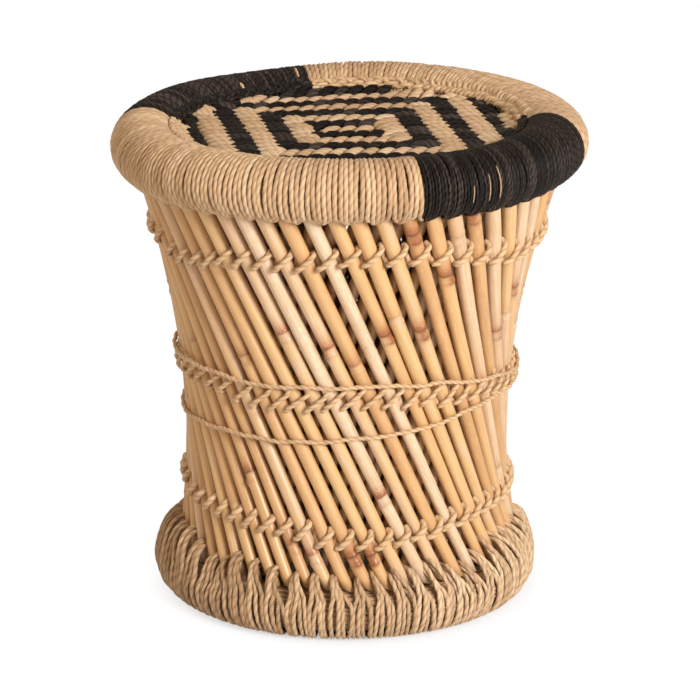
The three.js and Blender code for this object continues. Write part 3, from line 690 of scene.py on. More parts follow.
def wound_rim(start, end, per_gap, cord, painted_light):
    """One length of cord wound round the rim from azimuth start to end, in degrees."""
    start, end = math.radians(start), math.radians(end)
    turns = int(round((end - start) / PITCH * per_gap))
    step = (end - start) / turns
    azimuths = start + (np.arange(turns) + 0.5) * step + chance.normal(0, SPACING_STRAY, turns) * step
    angle = -math.pi / 2 - np.linspace(0, TAU, RIM_STEPS, endpoint=False)
    inside = np.cos(angle) < 0
    gathered = 1 - smooth(*GATHERS, np.sin(angle))
    points, outward = [], []
    before = gap_middle(azimuths[0])
    for number, azimuth in enumerate(azimuths):
        after = gap_middle(azimuth)
        reach = (azimuth - after) / PITCH
        lane = np.where(inside, before, after) + reach * GAP_SHARE * PITCH
        wander = chance.normal(0, WANDER) * step * np.sin(angle * 2 + chance.uniform(0, TAU))
        skew = bump(azimuth, BLACK_END, SKEW_REACH)
        loose = azimuth + wander - skew * (SKEW + SKEW_SWING * np.cos(angle))
        place = loose + (lane - loose) * gathered
        lift = ((number * 2) % 3 - 1) * LAYER_LIFT * gathered + chance.normal(0, LIFT_STRAY)
        fuller = FULLER * np.maximum(np.cos(place), 0) ** 2
        radius = RIM_RADIUS + (RIM_HALF_WIDTH - cord / 2 + lift + fuller) * np.cos(angle)
        height = RIM_HEIGHT + (RIM_HALF_HEIGHT - cord / 2 + np.minimum(lift, 0.1)) * np.sin(angle)
        height = height - GAP_HANG * gathered * (1 - 4 * reach**2)
        meridian = around(1.0, place, 0.0)
        points.append(meridian * radius[:, None] + [0, 0, 1] * height[:, None])
        outward.append(meridian * np.cos(angle)[:, None] + [0, 0, 1] * np.sin(angle)[:, None])
        before = after
    # Painted light: the whole length's tone is lifted, or lowered when negative
    tones = chance.uniform(0, 1, turns) + painted_light
    depth, flank_shade = THICK_GROOVES if cord > THIN else THIN_GROOVES
    points, outward = np.concatenate(points), np.concatenate(outward)
    made = rope(points, outward, cord / 2 * 1.04, 4.1 * cord, sides=8, depth=depth, flank_shade=flank_shade)
    made["values"]["tone"] = np.repeat(tones, RIM_STEPS * made["sides"])
    return made


# Start and end in degrees, turns to a gap, thickness of the cord, and how much its tone is lifted: the
# black at the back left is painted lighter, as painted light where light grazes it from behind, and the
# natural behind is a little darker
RIM_LENGTHS = [
    ("natural_front", 174, 288, 5.2, 4.2, 0),
    ("black_right", 288, 356, 8.1, 2.9, 0),
    ("natural_back", 356, 463, 5.2, 4.2, -0.1),
    ("black_left", 463, 534, 7.6, 2.9, 0.4),
]
for place, start, end, per_gap, cord, painted_light in RIM_LENGTHS:
    finish, slot = (black_cord, "black_cord") if "black" in place else (natural_cord, "natural_cord")
    turns = [wound_rim(start, end, per_gap, cord, painted_light)]
    make_piece(f"rim_turns_{place}", turns, finish, [f"rim_winding_{place}"], RIM_TILT)

# %% [markdown]
# ## Foot winding
# The foot is wound in the same way with a thicker cord, four or five turns to a gap. The turns come out
# between two canes, follow the slant of the gap as far as the cane tips, and fan out over the ring, so the
# tips and the hoop show between them. The section isn't a plain oval, so it is a smooth curve through
# thirteen points. A table holds how high each fan starts, because the fans differ in the photograph.

# %% Section and fans of the foot
FOOT_CORD = 4.0
FOOT_STEPS = 64
# How much wider the ring is than the solid, and how much more so at the left and less at the right
FOOT_WIDER, FOOT_LEANING = 1.4, 3.0
# Across the ring as a share of its half width, height, and spread as a share of the space of one gap
FOOT_SHARES = [
    (-0.70, 57.0, 0.15),
    (-0.16, 57.8, 0.14),
    (0.30, 56.8, 0.22),
    (0.62, 50.5, 0.50),
    (0.84, 40.5, 0.88),
    (0.98, 28.0, 1.02),
    (0.91, 14.5, 1.00),
    (0.58, 4.0, 1.00),
    (0.06, 2.3, 1.00),
    (-0.46, 2.6, 1.00),
    (-0.86, 12.0, 0.98),
    (-1.00, 27.0, 0.80),
    (-0.92, 44.0, 0.40),
]
# Shares of a turn between which it leaves the slant of its gap, and the last of a fan moves on
STRAIGHTENS, MOVES_ON = (0.55, 0.85), (0.6, 0.97)
# Heights on the ring between which a fan's own level begins to count, and its ragged top
LEVEL_COUNTS, RAGGED_COUNTS, RAGGED = (20, 50), (30, 50), 2.0
# How far apart neighbouring turns lie, one over the other, where they are bunched
BUNCHED = 2.6
# Strays of a turn: its spacing, its sway and its neck in shares of a gap, and how far out it lies
FAN_SPACING, FAN_SWAY, FAN_NECK, FAN_LIFT = 0.04, 0.08, 0.07, 0.5
# How far each fan starts above or below the solid's, in degrees and millimetres
FOOT_TOPS = [
    *((-180, 3), (-157, 2), (-149, -3), (-140, -10), (-131, -1), (-126, 1), (-120, -11), (-115, -3)),
    *((-108, -11), (-103, -7), (-95, -10), (-86, -10), (-78, -7), (-70, -6), (-62, -4), (-56, -10)),
    *((-50, -11), (-45, -6), (-37, 4), (0, 2), (12, -6), (60, -7), (90, -8), (120, -7), (165, -5)),
]


def height_along(route, azimuth):
    """Height of a hand-made row at azimuths, from pairs of degrees and millimetres."""
    degrees, heights = np.array(sorted((a % 360, h) for a, h in route), float).T
    degrees = np.concatenate([degrees[-1:] - 360, degrees, degrees[:1] + 360])
    heights = np.concatenate([heights[-1:], heights, heights[:1]])
    where = np.degrees(azimuth) % 360
    index = np.searchsorted(degrees, where, side="right") - 1
    share = (where - degrees[index]) / (degrees[index + 1] - degrees[index])
    return heights[index] + share * share * (3 - 2 * share) * (heights[index + 1] - heights[index])


def closed_curve(rows, count):
    """A smooth closed curve through rows, at count even steps."""
    rows = np.asarray(rows, float)
    place = np.linspace(0, len(rows), count, endpoint=False)
    first = place.astype(int)
    share = (place - first).reshape((-1,) + (1,) * (rows.ndim - 1))
    a, b, c, d = (rows[(first + k) % len(rows)] for k in (-1, 0, 1, 2))
    curve = 2 * b + (c - a) * share + (2 * a - 5 * b + 4 * c - d) * share**2
    return 0.5 * (curve + (3 * b - a - 3 * c + d) * share**3)


def smoothed(values, reach=12):
    """Each value with the mean of its neighbours along the cord, so that no step shows."""
    return np.convolve(np.pad(values, reach, "edge"), np.ones(2 * reach + 1) / (2 * reach + 1), "valid")


# %% [markdown]
# A length of the winding is then a loop over its gaps and over the turns in each gap. A turn is the
# section once round, moved along the ring by its place in the fan. Small strays by chance keep the fans
# from looking like copies of one another.


# %% Turns of the foot
def wound_foot(first_gap, gaps):
    """One length of cord wound round the foot, from one gap between canes to the next."""
    across, height, spread = closed_curve(FOOT_SHARES, FOOT_STEPS).T
    run = np.arange(FOOT_STEPS) / FOOT_STEPS
    points, outward, tones, girths = [], [], [], []
    for gap in range(first_gap, first_gap + gaps):
        middle = (gap + 0.5) * PITCH
        level = height + height_along(FOOT_TOPS, middle) * smooth(*LEVEL_COUNTS, height)
        leaning = turn_at(np.clip(level, CANE_BOTTOM, FOOT_PASS)) * (1 - smooth(*STRAIGHTENS, run))
        strands = 5 if chance.uniform() < 0.5 else 4
        for strand in range(strands):
            reach = ((strand + 0.5) / strands - 0.5) * (1 + chance.normal(0, FAN_SPACING))
            moved = smooth(*MOVES_ON, run) if strand == strands - 1 else 0
            sway = chance.normal(0, FAN_SWAY) * np.sin(TAU * 1.5 * run + chance.uniform(0, TAU))
            neck = chance.normal(0, FAN_NECK) * np.clip(1 - spread, 0, 1)
            place = middle + leaning + (moved + reach * spread + sway + neck) * PITCH
            rise = level + chance.normal(0, RAGGED) * smooth(*RAGGED_COUNTS, height)
            lift = chance.normal(0, FAN_LIFT) + (strand % 2 - 0.5) * BUNCHED * np.clip(1 - spread, 0, 1)
            wide = FOOT_HALF_WIDTH - FOOT_CORD / 2 + lift + FOOT_WIDER - FOOT_LEANING * np.cos(middle)
            meridian = around(1.0, place, 0.0)
            rise = np.maximum(rise + lift * 0.3, FOOT_CORD / 2 + 0.1)
            radius = FOOT_RADIUS + wide * across
            points.append(meridian * radius[:, None] + [0, 0, 1] * rise[:, None])
            outward.append(meridian * across[:, None] + [0, 0, 1] * ((height - 30) / 30)[:, None])
            # Painted shade and light: a fan's tone drops at the left of the foot and rises at the right
            tones.append(chance.uniform(0, 1) + 0.6 * min(math.cos(middle), 0.5))
            girths.append(np.full(FOOT_STEPS, FOOT_CORD / 2 * chance.uniform(0.9, 1.15)))
    points, outward, girths = np.concatenate(points), np.concatenate(outward), np.concatenate(girths)
    # The flanks of the turns get painted shade
    made = rope(points, outward, smoothed(girths), lay=17.0, sides=9, depth=0.07, flank_shade=1.1)
    made["values"]["tone"] = np.repeat(tones, FOOT_STEPS * made["sides"])
    return made


FOOT_GAPS = 18
for place, first_gap in (("front", 31), ("right", 49), ("left", 13)):
    turns = [wound_foot(first_gap, FOOT_GAPS)]
    make_piece(f"foot_turns_{place}", turns, foot_cord, [f"foot_winding_{place}"])

# %% [markdown]
# ## Hoops of grass stalks
# Each ring is wound over a hoop of stalks. A plain ring with a ribbed texture would do where it is
# covered, but between the foot's turns its edge shows. So 26 level stalks lie side by side round the
# section, and waver a little.

# %% Hoops
STALK_RADIUS, STALKS, HOOP_STEPS, WAVER = 2.5, 26, 160, 0.5
FOOT_HOOP_HEIGHT, FOOT_HOOP_HALF_HEIGHT, FOOT_HOOP_INSET, RIM_HOOP_INSET = 22.0, 14.5, 6.0, 7.5


def stalk_hoop(name, node, radius, height, half_width, half_height, start, end):
    """Level stalks round an oval section, from angle start to end, in degrees."""
    strands = []
    for angle in np.radians(np.linspace(start, end, STALKS + 1)[:-1]):
        azimuth = np.linspace(0, TAU, HOOP_STEPS, endpoint=False)
        sway = WAVER * np.sin(azimuth * 5 + chance.uniform(0, TAU))
        wave = WAVER * np.sin(azimuth * 7 + chance.uniform(0, TAU))
        level = height + half_height * math.sin(angle) + wave
        points = around(radius + half_width * math.cos(angle) + sway, azimuth, level)
        tone = chance.uniform(0, 1)
        outward = around(1.0, azimuth, 0.0)
        strands.append(rope(points, outward, STALK_RADIUS, lay=400, sides=6, closed=True, tone=tone))
    make_piece(name, strands, grass_hoop, [node])


foot_half = (FOOT_HALF_WIDTH - FOOT_HOOP_INSET, FOOT_HOOP_HALF_HEIGHT)
rim_half = (RIM_HALF_WIDTH - RIM_HOOP_INSET, RIM_HALF_HEIGHT - RIM_HOOP_INSET)
stalk_hoop("foot_hoop", "foot_core", FOOT_RADIUS, FOOT_HOOP_HEIGHT, *foot_half, 0, 360)
# The rim's hoop has no stalks at the bottom, where the cane tops stand in it
stalk_hoop("rim_hoop", "rim_core", RIM_RADIUS, RIM_HEIGHT, *rim_half, -50, 230)

# %% [markdown]
# ## Routes of the rows
# The rows of lashing and the two waist cords wander up and down, as a hand ties them. A level ring would
# look like a machine's, and waves by chance would miss the places where the rows meet. So each route is
# a list of angle and height, read from the photograph in front and guessed behind.

# %% Routes of the rows
UPPER_ROW = [
    *((-166, 313), (-155, 304), (-143, 304), (-126, 314), (-103, 317), (-90, 321), (-71, 323)),
    *((-57, 318), (-45, 314), (-30, 306), (-15, 308), (10, 308), (60, 310), (120, 308), (170, 310)),
]
WAIST_ROW = [
    *((-168, 199), (-150, 201), (-135, 199), (-120, 195), (-105, 196), (-89, 202), (-70, 201)),
    *((-50, 196), (-30, 193), (-12, 186), (20, 190), (60, 193), (100, 194), (160, 196)),
]
LOWER_ROW = [
    *((-173, 100), (-157, 93), (-140, 90), (-119, 89), (-106, 87), (-92, 81), (-77, 80)),
    *((-63, 84), (-50, 89), (-36, 90), (-20, 91), (0, 94), (30, 92), (90, 88), (150, 92)),
]
UPPER_CORD = [
    *((-169, 208), (-150, 209), (-137, 209), (-122, 207), (-99, 210), (-82, 212), (-62, 209)),
    *((-36, 201), (-20, 195), (-8, 189), (10, 192), (40, 200), (80, 206), (120, 207), (160, 208)),
]
LOWER_CORD = [
    *((-168, 156), (-147, 159), (-133, 161), (-115, 161), (-105, 163), (-81, 168), (-61, 172)),
    *((-45, 178), (-32, 180), (-12, 182), (20, 178), (50, 170), (90, 163), (130, 160), (165, 158)),
]


# %% [markdown]
# ## Lashing rows
# A twine ties each outer cane in turn. It comes out of the gap low on the left of a cane, climbs over its
# face, goes into the gap high on its right, and drops behind to the next cane. One stitch is a list of
# shares, and a smooth curve through all the stitches makes one closed twine, so it can't come apart
# where two of them meet. At the waist the stitches are longer, and cross.

# %% Lashings
STITCH_STEPS, TWINE_LAY = 36, 14
# Each stitch as shares: across in cane pitches, height in rises, and out in reaches from the cane's axis
TIE_SHARES = [
    (-0.45, -1.00, 0.10),
    (-0.47, -0.92, 0.72),
    (-0.27, -0.62, 1.03),
    (0.02, -0.05, 1.10),
    (0.26, 0.48, 1.01),
    (0.41, 0.88, 0.62),
    (0.40, 1.12, -0.05),
    (0.44, 0.40, -0.55),
    (0.50, -0.55, -0.45),
]
CROSS_SHARES = [
    (-0.50, -1.00, 0.20),
    (-0.54, -0.94, 0.85),
    (-0.36, -0.66, 1.15),
    (0.00, -0.22, 1.28),
    (0.34, 0.22, 1.12),
    (0.66, 0.62, 1.05),
    (0.84, 1.00, 0.72),
    (0.84, 1.22, -0.05),
    (0.62, 0.45, -0.50),
    (0.52, -0.50, -0.50),
]


def lashing(shares, cord, rise, route):
    """A closed twine that ties each outer cane with the same stitch, at the heights of its route."""
    controls = []
    for number in range(CANES):
        middle = height_along(route, number * PITCH + turn_at(height_along(route, number * PITCH)))
        middle = middle + chance.normal(0, 0.6)
        lift = rise * chance.uniform(0.9, 1.12)
        for across, up, out in shares:
            height = middle + up * lift
            turned = 0.5 * (turn_at(height) + turn_at(middle))
            here = (number + across) * PITCH + turned
            reach = radius_at(middle) + out * (diameter_at(middle) + cord * 0.8) / 2
            controls.append([reach * math.cos(here), reach * math.sin(here), height])
    points = closed_curve(controls, CANES * STITCH_STEPS)
    outward = unit(points * [1, 1, 0])
    return rope(points, outward, cord / 2, TWINE_LAY, sides=8, closed=True, tone=0.6, depth=0.09)


# Name, shape of a stitch, thickness of the cord, rise of a stitch, and the route
LASHINGS = [
    ("upper", TIE_SHARES, 5.0, 7.2, UPPER_ROW),
    ("waist", CROSS_SHARES, 4.2, 9.0, WAIST_ROW),
    ("lower", TIE_SHARES, 5.5, 6.2, LOWER_ROW),
]
for row, shares, cord, rise, route in LASHINGS:
    twine = [lashing(shares, cord, rise, route)]
    make_piece(f"{row}_lashing_twine", twine, pale_cord, [f"{row}_lashing"])

# %% [markdown]
# ## Waist cords
# Two plain twisted cords go round the waist, one above the waist lashing and one below. They rest on the
# canes, dip a little between them, and ride over the lashing where they meet it. A simulation could lay
# them there, but they are tight, so their radius follows from that of the canes.

# %% Waist cords
WAIST_CORD, WAIST_CORD_STEPS = 3.8, 1000
# How far a cord dips between canes and rides out over the lashing, and how near it that starts and ends
DIP, RIDE, RIDE_FULL, RIDE_NONE = 0.35, 3.2, 6.0, 13.0


def waist_cord(route, cord):
    azimuth = np.linspace(0, TAU, WAIST_CORD_STEPS, endpoint=False)
    height = height_along(route, azimuth)
    near = 1 - smooth(RIDE_FULL, RIDE_NONE, np.abs(height - height_along(WAIST_ROW, azimuth)))
    dip = DIP * np.cos(CANES * (azimuth - turn_at(height)))
    radius = radius_at(height) + diameter_at(height) / 2 + cord / 2 + 0.1 + dip + near * RIDE
    points = around(radius, azimuth, height + 0.3 * np.sin(azimuth * 23))
    outward = around(1.0, azimuth, 0.0)
    return rope(points, outward, cord / 2, lay=12.5, sides=8, closed=True, tone=0.6, depth=0.14)


for row, route in (("upper", UPPER_CORD), ("lower", LOWER_CORD)):
    twine = [waist_cord(route, WAIST_CORD)]
    make_piece(f"{row}_waist_twine", twine, pale_cord, [f"waist_cord_{row}"])

# %% [markdown]
# ## Woven seat
# The seat is woven rope. What shows are its floats: short fat lengths of rope that come up, lie over their
# neighbours and dive down again. In front and behind they lie aslant, so a row of them looks like one
# thick twisted rope. At the sides they lie across and end in points, and the points of one colour slip
# between those of the next. Each ring of floats has one colour, and that gives the concentric squares,
# which lean as they come forwards. A picture on a flat disc would give the colours but not the relief,
# and the whole weave, over and under, would be mostly hidden, so only the floats are made.

# %% Places on the seat
SEAT_TOP, SEAT_RISE, SEAT_FLAT, SEAT_REACH = 383.5, 5.1, 126.1, 141.6
SEAT_TURN, SEAT_LEAN, PATTERN_MIDDLE = math.radians(4), 0.11, 6.0
# Number of rings in the pattern, their width in front and at the sides, and how much wider the middle is
RINGS, BAND, SIDE_BAND, STRETCH = 9, 18.3, 17.0, 4.5


def seat_top(radius):
    return SEAT_TOP + np.maximum(radius - SEAT_FLAT, 0) * SEAT_RISE / (SEAT_REACH - SEAT_FLAT)


def on_seat(x, y):
    """A place on the pattern, leaned and turned as the pattern is, and set back from the middle."""
    x = x - SEAT_LEAN * y
    cosine, sine = math.cos(SEAT_TURN), math.sin(SEAT_TURN)
    return np.array([cosine * x - sine * y, sine * x + cosine * y + PATTERN_MIDDLE])


# %% [markdown]
# A float is a short length of rope with four plies, pressed flat, that dives at both ends. How its
# thickness changes along it makes its outline: narrow at both ends in the rows in front and behind, and
# one long point at the sides.

# %% One float
FLOAT_PITCH, FLOAT_STEPS = 12.2, 19
# How far a float's middle line is under the seat's top, and how far its ends dive
FLOAT_DEPTH, FLOAT_DIVE = 3.0, 3.4
# Strays of a float's heading, level and thickness
HEADING_STRAY, LEVEL_STRAY, THINNEST, THICKEST = 0.05, 0.2, 0.94, 1.08


def seat_float(x, y, heading, length, width, points_at, full, sink):
    """A float over x, y. It narrows to a point at its far end by points_at, and at both if less full."""
    run = np.linspace(-1, 1, FLOAT_STEPS)
    heading = math.radians(heading) + (SEAT_TURN + chance.normal(0, HEADING_STRAY))
    px, py = x + run * length / 2 * math.cos(heading), y + run * length / 2 * math.sin(heading)
    level = seat_top(np.hypot(px, py)) - FLOAT_DEPTH - sink + chance.normal(0, LEVEL_STRAY)
    pz = level - FLOAT_DIVE * np.abs(run) ** 2.6
    blunt = np.sqrt(np.clip(1 - np.abs(run) ** full, 0.03, 1))
    sharp = np.clip(1 - run, 0.08, 1) ** 0.8
    girth = width / 2 * blunt * (1 + points_at * (np.where(run > 0, sharp, 1) - 1))
    girth = girth * chance.uniform(THINNEST, THICKEST)
    path = np.stack([px, py, pz], -1)
    upward = np.broadcast_to([0.0, 0.0, 1.0], path.shape)
    tone = chance.uniform(0, 1)
    return rope(path, upward, girth, lay=26, sides=14, plies=4, depth=0.12, tone=tone, flat=0.75)


def evenly(half):
    """Middles of floats that fill a stretch from -half to half."""
    count = max(round(2 * half / FLOAT_PITCH), 1)
    return (np.arange(count) + 0.5) * 2 * half / count - half


# %% [markdown]
# The rings of the pattern are counted from the middle, where ring 0 is one short row. Odd ones are black.
# Ring 1 has only its rows in front and behind, and looks like two bars. The others have four sides.

# %% Rings of floats
# Heading in degrees, length, width, how pointed and how full its ends are, and how far it is sunk
BLACK_ROW, NATURAL_ROW = (50, 28, 11.0, 0.2, 2.2, 0.2), (50, 31, 8.9, 0.2, 2.2, 0.1)
BLACK_SIDE, NATURAL_SIDE = (163, 33, 11.4, 1.0, 3.4, -0.1), (-9, 27, 12.0, 0.45, 3.4, 0.1)
CORNER = (38, 34, 9.5, 0.8, 3.4, 0.1)
EDGE_SIDES = {-1: (163, 17, 11.4, 1.0, 3.4, -0.1), 1: (163, 23, 11.4, 1.0, 3.4, -0.1)}
# Half the length of ring 0, and how far rows and the natural floats in them are shifted
HALF_OF_MIDDLE, ROW_SHIFT, NATURAL_SHIFT = 20, 5, 4
ROW_SHORTER, SIDE_LONGER = 3, 5
BLACK_SIDE_SHIFT, CORNER_SHIFT, NATURAL_SIDE_SHIFT = -3, -2, 1
# How far past the seat a float may be to be made, and how far inside it then lies
PAST_SEAT, INSIDE_SEAT = 2, 7
FOUR_SIDED, EDGE = 2, 7


def ring_floats(number):
    """Floats of one ring of the pattern, each as its side, its place and its kind."""
    black, small = number % 2 == 1, number < FOUR_SIDED
    middle_x, middle_y = number * SIDE_BAND + STRETCH, number * BAND
    along = HALF_OF_MIDDLE if number == 0 else middle_x + (BAND / 2 if small else -ROW_SHORTER)
    for hand in (1,) if number == 0 else (-1, 1):
        side = "back" if hand > 0 else "front"
        for x in evenly(along) - (ROW_SHIFT if small else 0):
            shift, kind = (0, BLACK_ROW) if black else (NATURAL_SHIFT, NATURAL_ROW)
            yield side, x + shift, hand * middle_y, *kind
    if small:
        return
    for hand in (-1, 1):
        side = "right" if hand > 0 else "left"
        for y in evenly(middle_y + SIDE_LONGER):
            if black:
                kind = BLACK_SIDE if number < EDGE else EDGE_SIDES[hand]
                yield side, hand * middle_x + BLACK_SIDE_SHIFT, y, *kind
            elif number == FOUR_SIDED and hand > 0:
                yield side, middle_x + CORNER_SHIFT, y, *CORNER
            else:
                yield side, hand * middle_x + NATURAL_SIDE_SHIFT, y, *NATURAL_SIDE


floats = {}
for number in range(RINGS):
    for side, x, y, *kind in ring_floats(number):
        place = on_seat(x, y)
        far = np.hypot(*place)
        if far > SEAT_REACH + PAST_SEAT:
            continue
        place = place * min(1, (SEAT_REACH - INSIDE_SEAT) / far)
        names = {1: f"bar_{side}", 3: "square_inner", 5: "square_outer", 7: f"edge_{side}"}
        floats.setdefault(names.get(number, "natural"), []).append(seat_float(*place, *kind))
print("floats:", {key: len(made) for key, made in floats.items()})

# %% [markdown]
# Under the floats lies the rest of the weave. The photograph doesn't show it. From below it would look
# like a plain over-and-under of ropes, so a grid of level ropes that pass over and under each other
# stands for it.

# %% Underside of the seat
UNDER_PITCH, UNDER_DEPTH, UNDER_WAVE, UNDER_RADIUS = 9.5, 8.4, 1.5, 4.4
UNDER_INSET = 5


def under_ropes():
    strands = []
    offsets = np.arange(-SEAT_REACH + UNDER_INSET, SEAT_REACH - UNDER_INSET + 1, UNDER_PITCH)
    for lengthwise in (False, True):
        for number, offset in enumerate(offsets):
            half = math.sqrt((SEAT_REACH - 1) ** 2 - offset**2)
            run = np.arange(-half, half, UNDER_PITCH / 3)
            wave = UNDER_WAVE * np.sin(math.pi * (run / UNDER_PITCH + number)) * (1 if lengthwise else -1)
            x, y = (offset + 0 * run, run) if lengthwise else (run, offset + 0 * run)
            points = np.stack([x, y, seat_top(np.hypot(x, y)) - UNDER_DEPTH + wave], -1)
            up = np.broadcast_to([0.0, 0.0, 1.0], points.shape)
            tone = chance.uniform(0, 1)
            strands.append(rope(points, up, UNDER_RADIUS, lay=16, sides=6, tone=tone, flat=0.5))
    return strands


weave = floats.pop("natural") + under_ropes()
make_piece("seat_weave", weave, natural_cord, ["seat_weave_natural"], RIM_TILT)
for key, made in floats.items():
    make_piece(f"seat_floats_{key}", made, black_cord, [f"seat_black_{key}"], RIM_TILT)

# %% [markdown]
# ## Braid
# Where rim and seat meet, a flat plait of three cords lies on the inner slope of the rim. It has the same
# colours as the rim beside it. In a plait each cord swings from side to side once in a cycle and goes over
# and under twice, a third of a cycle behind the one before. So three sines make it, and nothing has to be
# plaited by hand. At the right it is wider, and straight behind its cycle is so long that the cords look
# parallel.

# %% Braid
PLAIT_RADIUS, PLAIT_HEIGHT = 140.0, 388.6
PLAIT_SLOPE, PLAIT_FACE = np.array([-0.77, -0.63]), np.array([-0.63, 0.77])
PLAIT_CYCLE, LONGER_CYCLE = 15.5, 30
# Width, thickness of a cord, and how much the plait grows, for its wide length and the others
WIDE_PLAIT, EVEN_PLAIT = (12.5, 5.0, 5.5), (11, 4.6, 0)
# Degrees between which the plait grows, and its cycle grows longer and shorter again
GROWS, LONGER, SHORTER = (62, 40), (58, 74), (112, 100)


def plait(start, end, width, cord, grows):
    """Three cords from azimuth start to end, in degrees. At the right the plait grows wider."""
    azimuth = np.radians(np.arange(start, end, 0.45))
    degrees = np.degrees(azimuth)
    growth = grows * smooth(*GROWS, degrees)
    cycle = PLAIT_CYCLE + LONGER_CYCLE * smooth(*LONGER, degrees) * smooth(*SHORTER, degrees)
    phase = np.cumsum(TAU / cycle) * (azimuth[1] - azimuth[0]) * PLAIT_RADIUS
    across, over = PLAIT_SLOPE, PLAIT_FACE
    strands = []
    for number in range(3):
        swing = phase + number * TAU / 3
        away = (width - cord + growth * 0.65) / 2 * np.sin(swing) - growth * 0.4
        above = 0.24 * cord * np.sin(2 * swing)
        radius = PLAIT_RADIUS + away * across[0] + above * over[0]
        height = PLAIT_HEIGHT + away * across[1] + above * over[1]
        outward = around(over[0], azimuth, over[1])
        points = around(radius, azimuth, height)
        girth, tone = (cord + growth * 0.35) / 2, 0.35 + number * 0.2
        # The flanks of the cords get painted shade
        made = rope(points, outward, girth, lay=18, sides=9, tone=tone, flat=0.8, flank_shade=1.0)
        strands.append(made)
    return strands


natural_plait = plait(4, 103, *WIDE_PLAIT) + plait(174, 288, *EVEN_PLAIT)
make_piece("rim_braid_natural", natural_plait, pale_cord, ["rim_braid"], RIM_TILT)
black_plait = plait(103, 174, *EVEN_PLAIT) + plait(288, 364, *EVEN_PLAIT)
make_piece("rim_braid_black", black_plait, black_cord, tilt=RIM_TILT)

# %% [markdown]
# ## Pale ends
# A few pale ends of cord have stayed between the black turns: three thin ones at the right, and two short
# stitches behind on the left. They lie on the rim as short lengths of the same twine, because paint on
# the black cord would follow its turns.

# %% Pale ends
PALE_STEPS = 24
# Azimuth, first and last angle round the rim's section, both in degrees, and thickness
PALE_ENDS = [
    (300.2, -20, 12, 0.8),
    (304.7, -22, 28, 0.8),
    (307.7, -20, 40, 1.0),
    (127.2, 124, 150, 3.2),
    (106.4, 100, 128, 2.4),
]


def pale_end(azimuth, start, end, thick):
    """A short length of cord that lies on the rim's winding and thins out at both ends."""
    angle = np.radians(np.linspace(start, end, PALE_STEPS))
    lifted = 0.35 * thick + 0.2
    radius = RIM_RADIUS + (RIM_HALF_WIDTH + lifted) * np.cos(angle)
    height = RIM_HEIGHT + (RIM_HALF_HEIGHT + lifted) * np.sin(angle)
    meridian = around(1.0, np.full(PALE_STEPS, math.radians(azimuth)), 0.0)
    points = meridian * radius[:, None] + [0, 0, 1] * (height[:, None] - 0.6)
    outward = meridian * np.cos(angle)[:, None] + [0, 0, 1] * np.sin(angle)[:, None]
    girth = thick / 2 * np.sqrt(np.clip(1 - np.linspace(-1, 1, PALE_STEPS) ** 4, 0.05, 1))
    return rope(points, outward, girth, lay=9, sides=7)


make_piece("pale_ends", [pale_end(*end) for end in PALE_ENDS], pale_cord, tilt=RIM_TILT)

# %% [markdown]
# ## Floor
# The photograph has a white ground with a faint shadow at the foot. A floor bright enough to be white by
# itself would light the stool from below too. So it is a pale grey floor that glows only for the
# camera's own rays. The glow is a little short of full, and weaker under the stool, so that the shadow
# at the foot is kept. These lengths are in metres.

# %% Floor
FLOOR_HALF, FLOOR_BELOW = 6.0, 0.0005
# How far from the middle the glow starts and is full, its share there, and its strength
GLOW_STARTS, GLOW_FULL, GLOW_SHARE, GLOW = 0.1, 0.17, 0.93, 1.05
PALE_GREY = rgba(0.85, 0.85, 0.85)

corners = [(x * FLOOR_HALF, y * FLOOR_HALF, -FLOOR_BELOW) for x, y in ((-1, -1), (1, -1), (1, 1), (-1, 1))]
floor_mesh = bpy.data.meshes.new("floor")
floor_mesh.from_pydata(corners, [], [(0, 1, 2, 3)])
floor = bpy.data.objects.new("floor", floor_mesh)
bpy.context.scene.collection.objects.link(floor)
floor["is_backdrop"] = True
ground = Finish("ground", Base_Color=PALE_GREY, Roughness=0.9)
here = ground.node("ShaderNodeNewGeometry", {}, {}, "Position")
far = ground.node("ShaderNodeVectorMath", {"operation": "LENGTH"}, {0: here}, "Value")
seen = ground.node("ShaderNodeLightPath", {}, {}, "Is Camera Ray")
glow = ground.node("ShaderNodeEmission", {}, {"Color": rgba(1, 1, 1), "Strength": GLOW}, "Emission")
lit = Value(ground, ground.surface.outputs[0])
share = seen * (ground.limits(far, GLOW_STARTS, GLOW_FULL) * GLOW_SHARE)
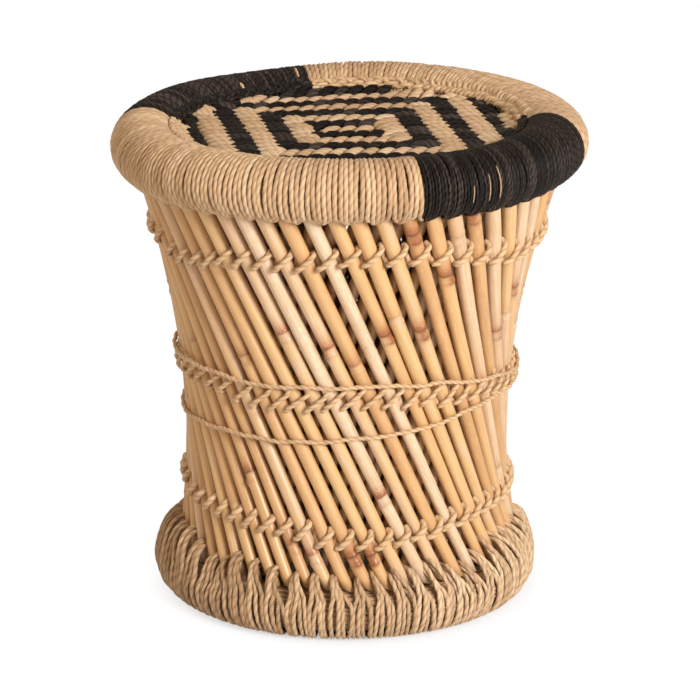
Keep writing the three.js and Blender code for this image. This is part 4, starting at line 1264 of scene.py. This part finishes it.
mixed = ground.node("ShaderNodeMixShader", {}, {0: share, 1: lit, 2: glow}, "Shader")
ground.feed(ground.tree.nodes["Material Output"].inputs["Surface"], mixed)
floor_mesh.materials.append(ground.material)
print("floor:", 2 * FLOOR_HALF, "m wide")

# %% [markdown]
# ## Light
# The light is soft and comes mostly from the front and the right, with a warm, weaker light from all
# round, so the left side of the stool is the browner one. A third lamp, high at the left, lights the
# edge of the rim there. Large square lamps give shadows with soft edges, which a sun or a point wouldn't.

# %% Light
SKY_COLOUR, SKY_STRENGTH = rgba(1, 0.85, 0.67), 0.44
AIM = np.array([0, 0, 0.2])
# Name, place, width, power in watts and colour
LAMPS = [
    ("key", (1.65, -2.45, 1.5), 1.1, 108, (0.96, 0.985, 1)),
    ("fill", (-2.3, -1.9, 0.8), 1.4, 3.5, (1, 0.74, 0.45)),
    ("edge", (-2.2, 0.5, 2.3), 0.9, 15, (1, 0.95, 0.9)),
]

world = bpy.data.worlds.new("world")
world.use_nodes = True
bpy.context.scene.world = world
sky = world.node_tree.nodes["Background"]
sky.inputs["Color"].default_value = SKY_COLOUR
sky.inputs["Strength"].default_value = SKY_STRENGTH


def softbox(name, place, width, power, colour):
    """A square lamp. It shines along its own -Z, so it is tipped and turned until that points at AIM."""
    light = bpy.data.lights.new(name, "AREA")
    light.size = width
    light.energy = power
    light.color = colour
    lamp = bpy.data.objects.new(name, light)
    lamp.location = place
    x, y, z = AIM - place
    lamp.rotation_euler = (math.atan2(math.hypot(x, y), -z), 0, math.atan2(y, x) - math.pi / 2)
    bpy.context.scene.collection.objects.link(lamp)


for lamp in LAMPS:
    softbox(*lamp)
print("lamps:", len(LAMPS))

# %% [markdown]
# ## Sizes, and the end
# The boxes of the solids and of the dressed stool are printed, so that the two can be compared.

# %% Sizes and finish
visual_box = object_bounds()


def plain(value):
    if hasattr(value, "__len__"):
        return [plain(v) for v in value]
    return float(value)


{"cad": plain(cad_box), "visual": plain(visual_box)}
print("CAD box", plain(cad_box), "visual box", plain(visual_box))
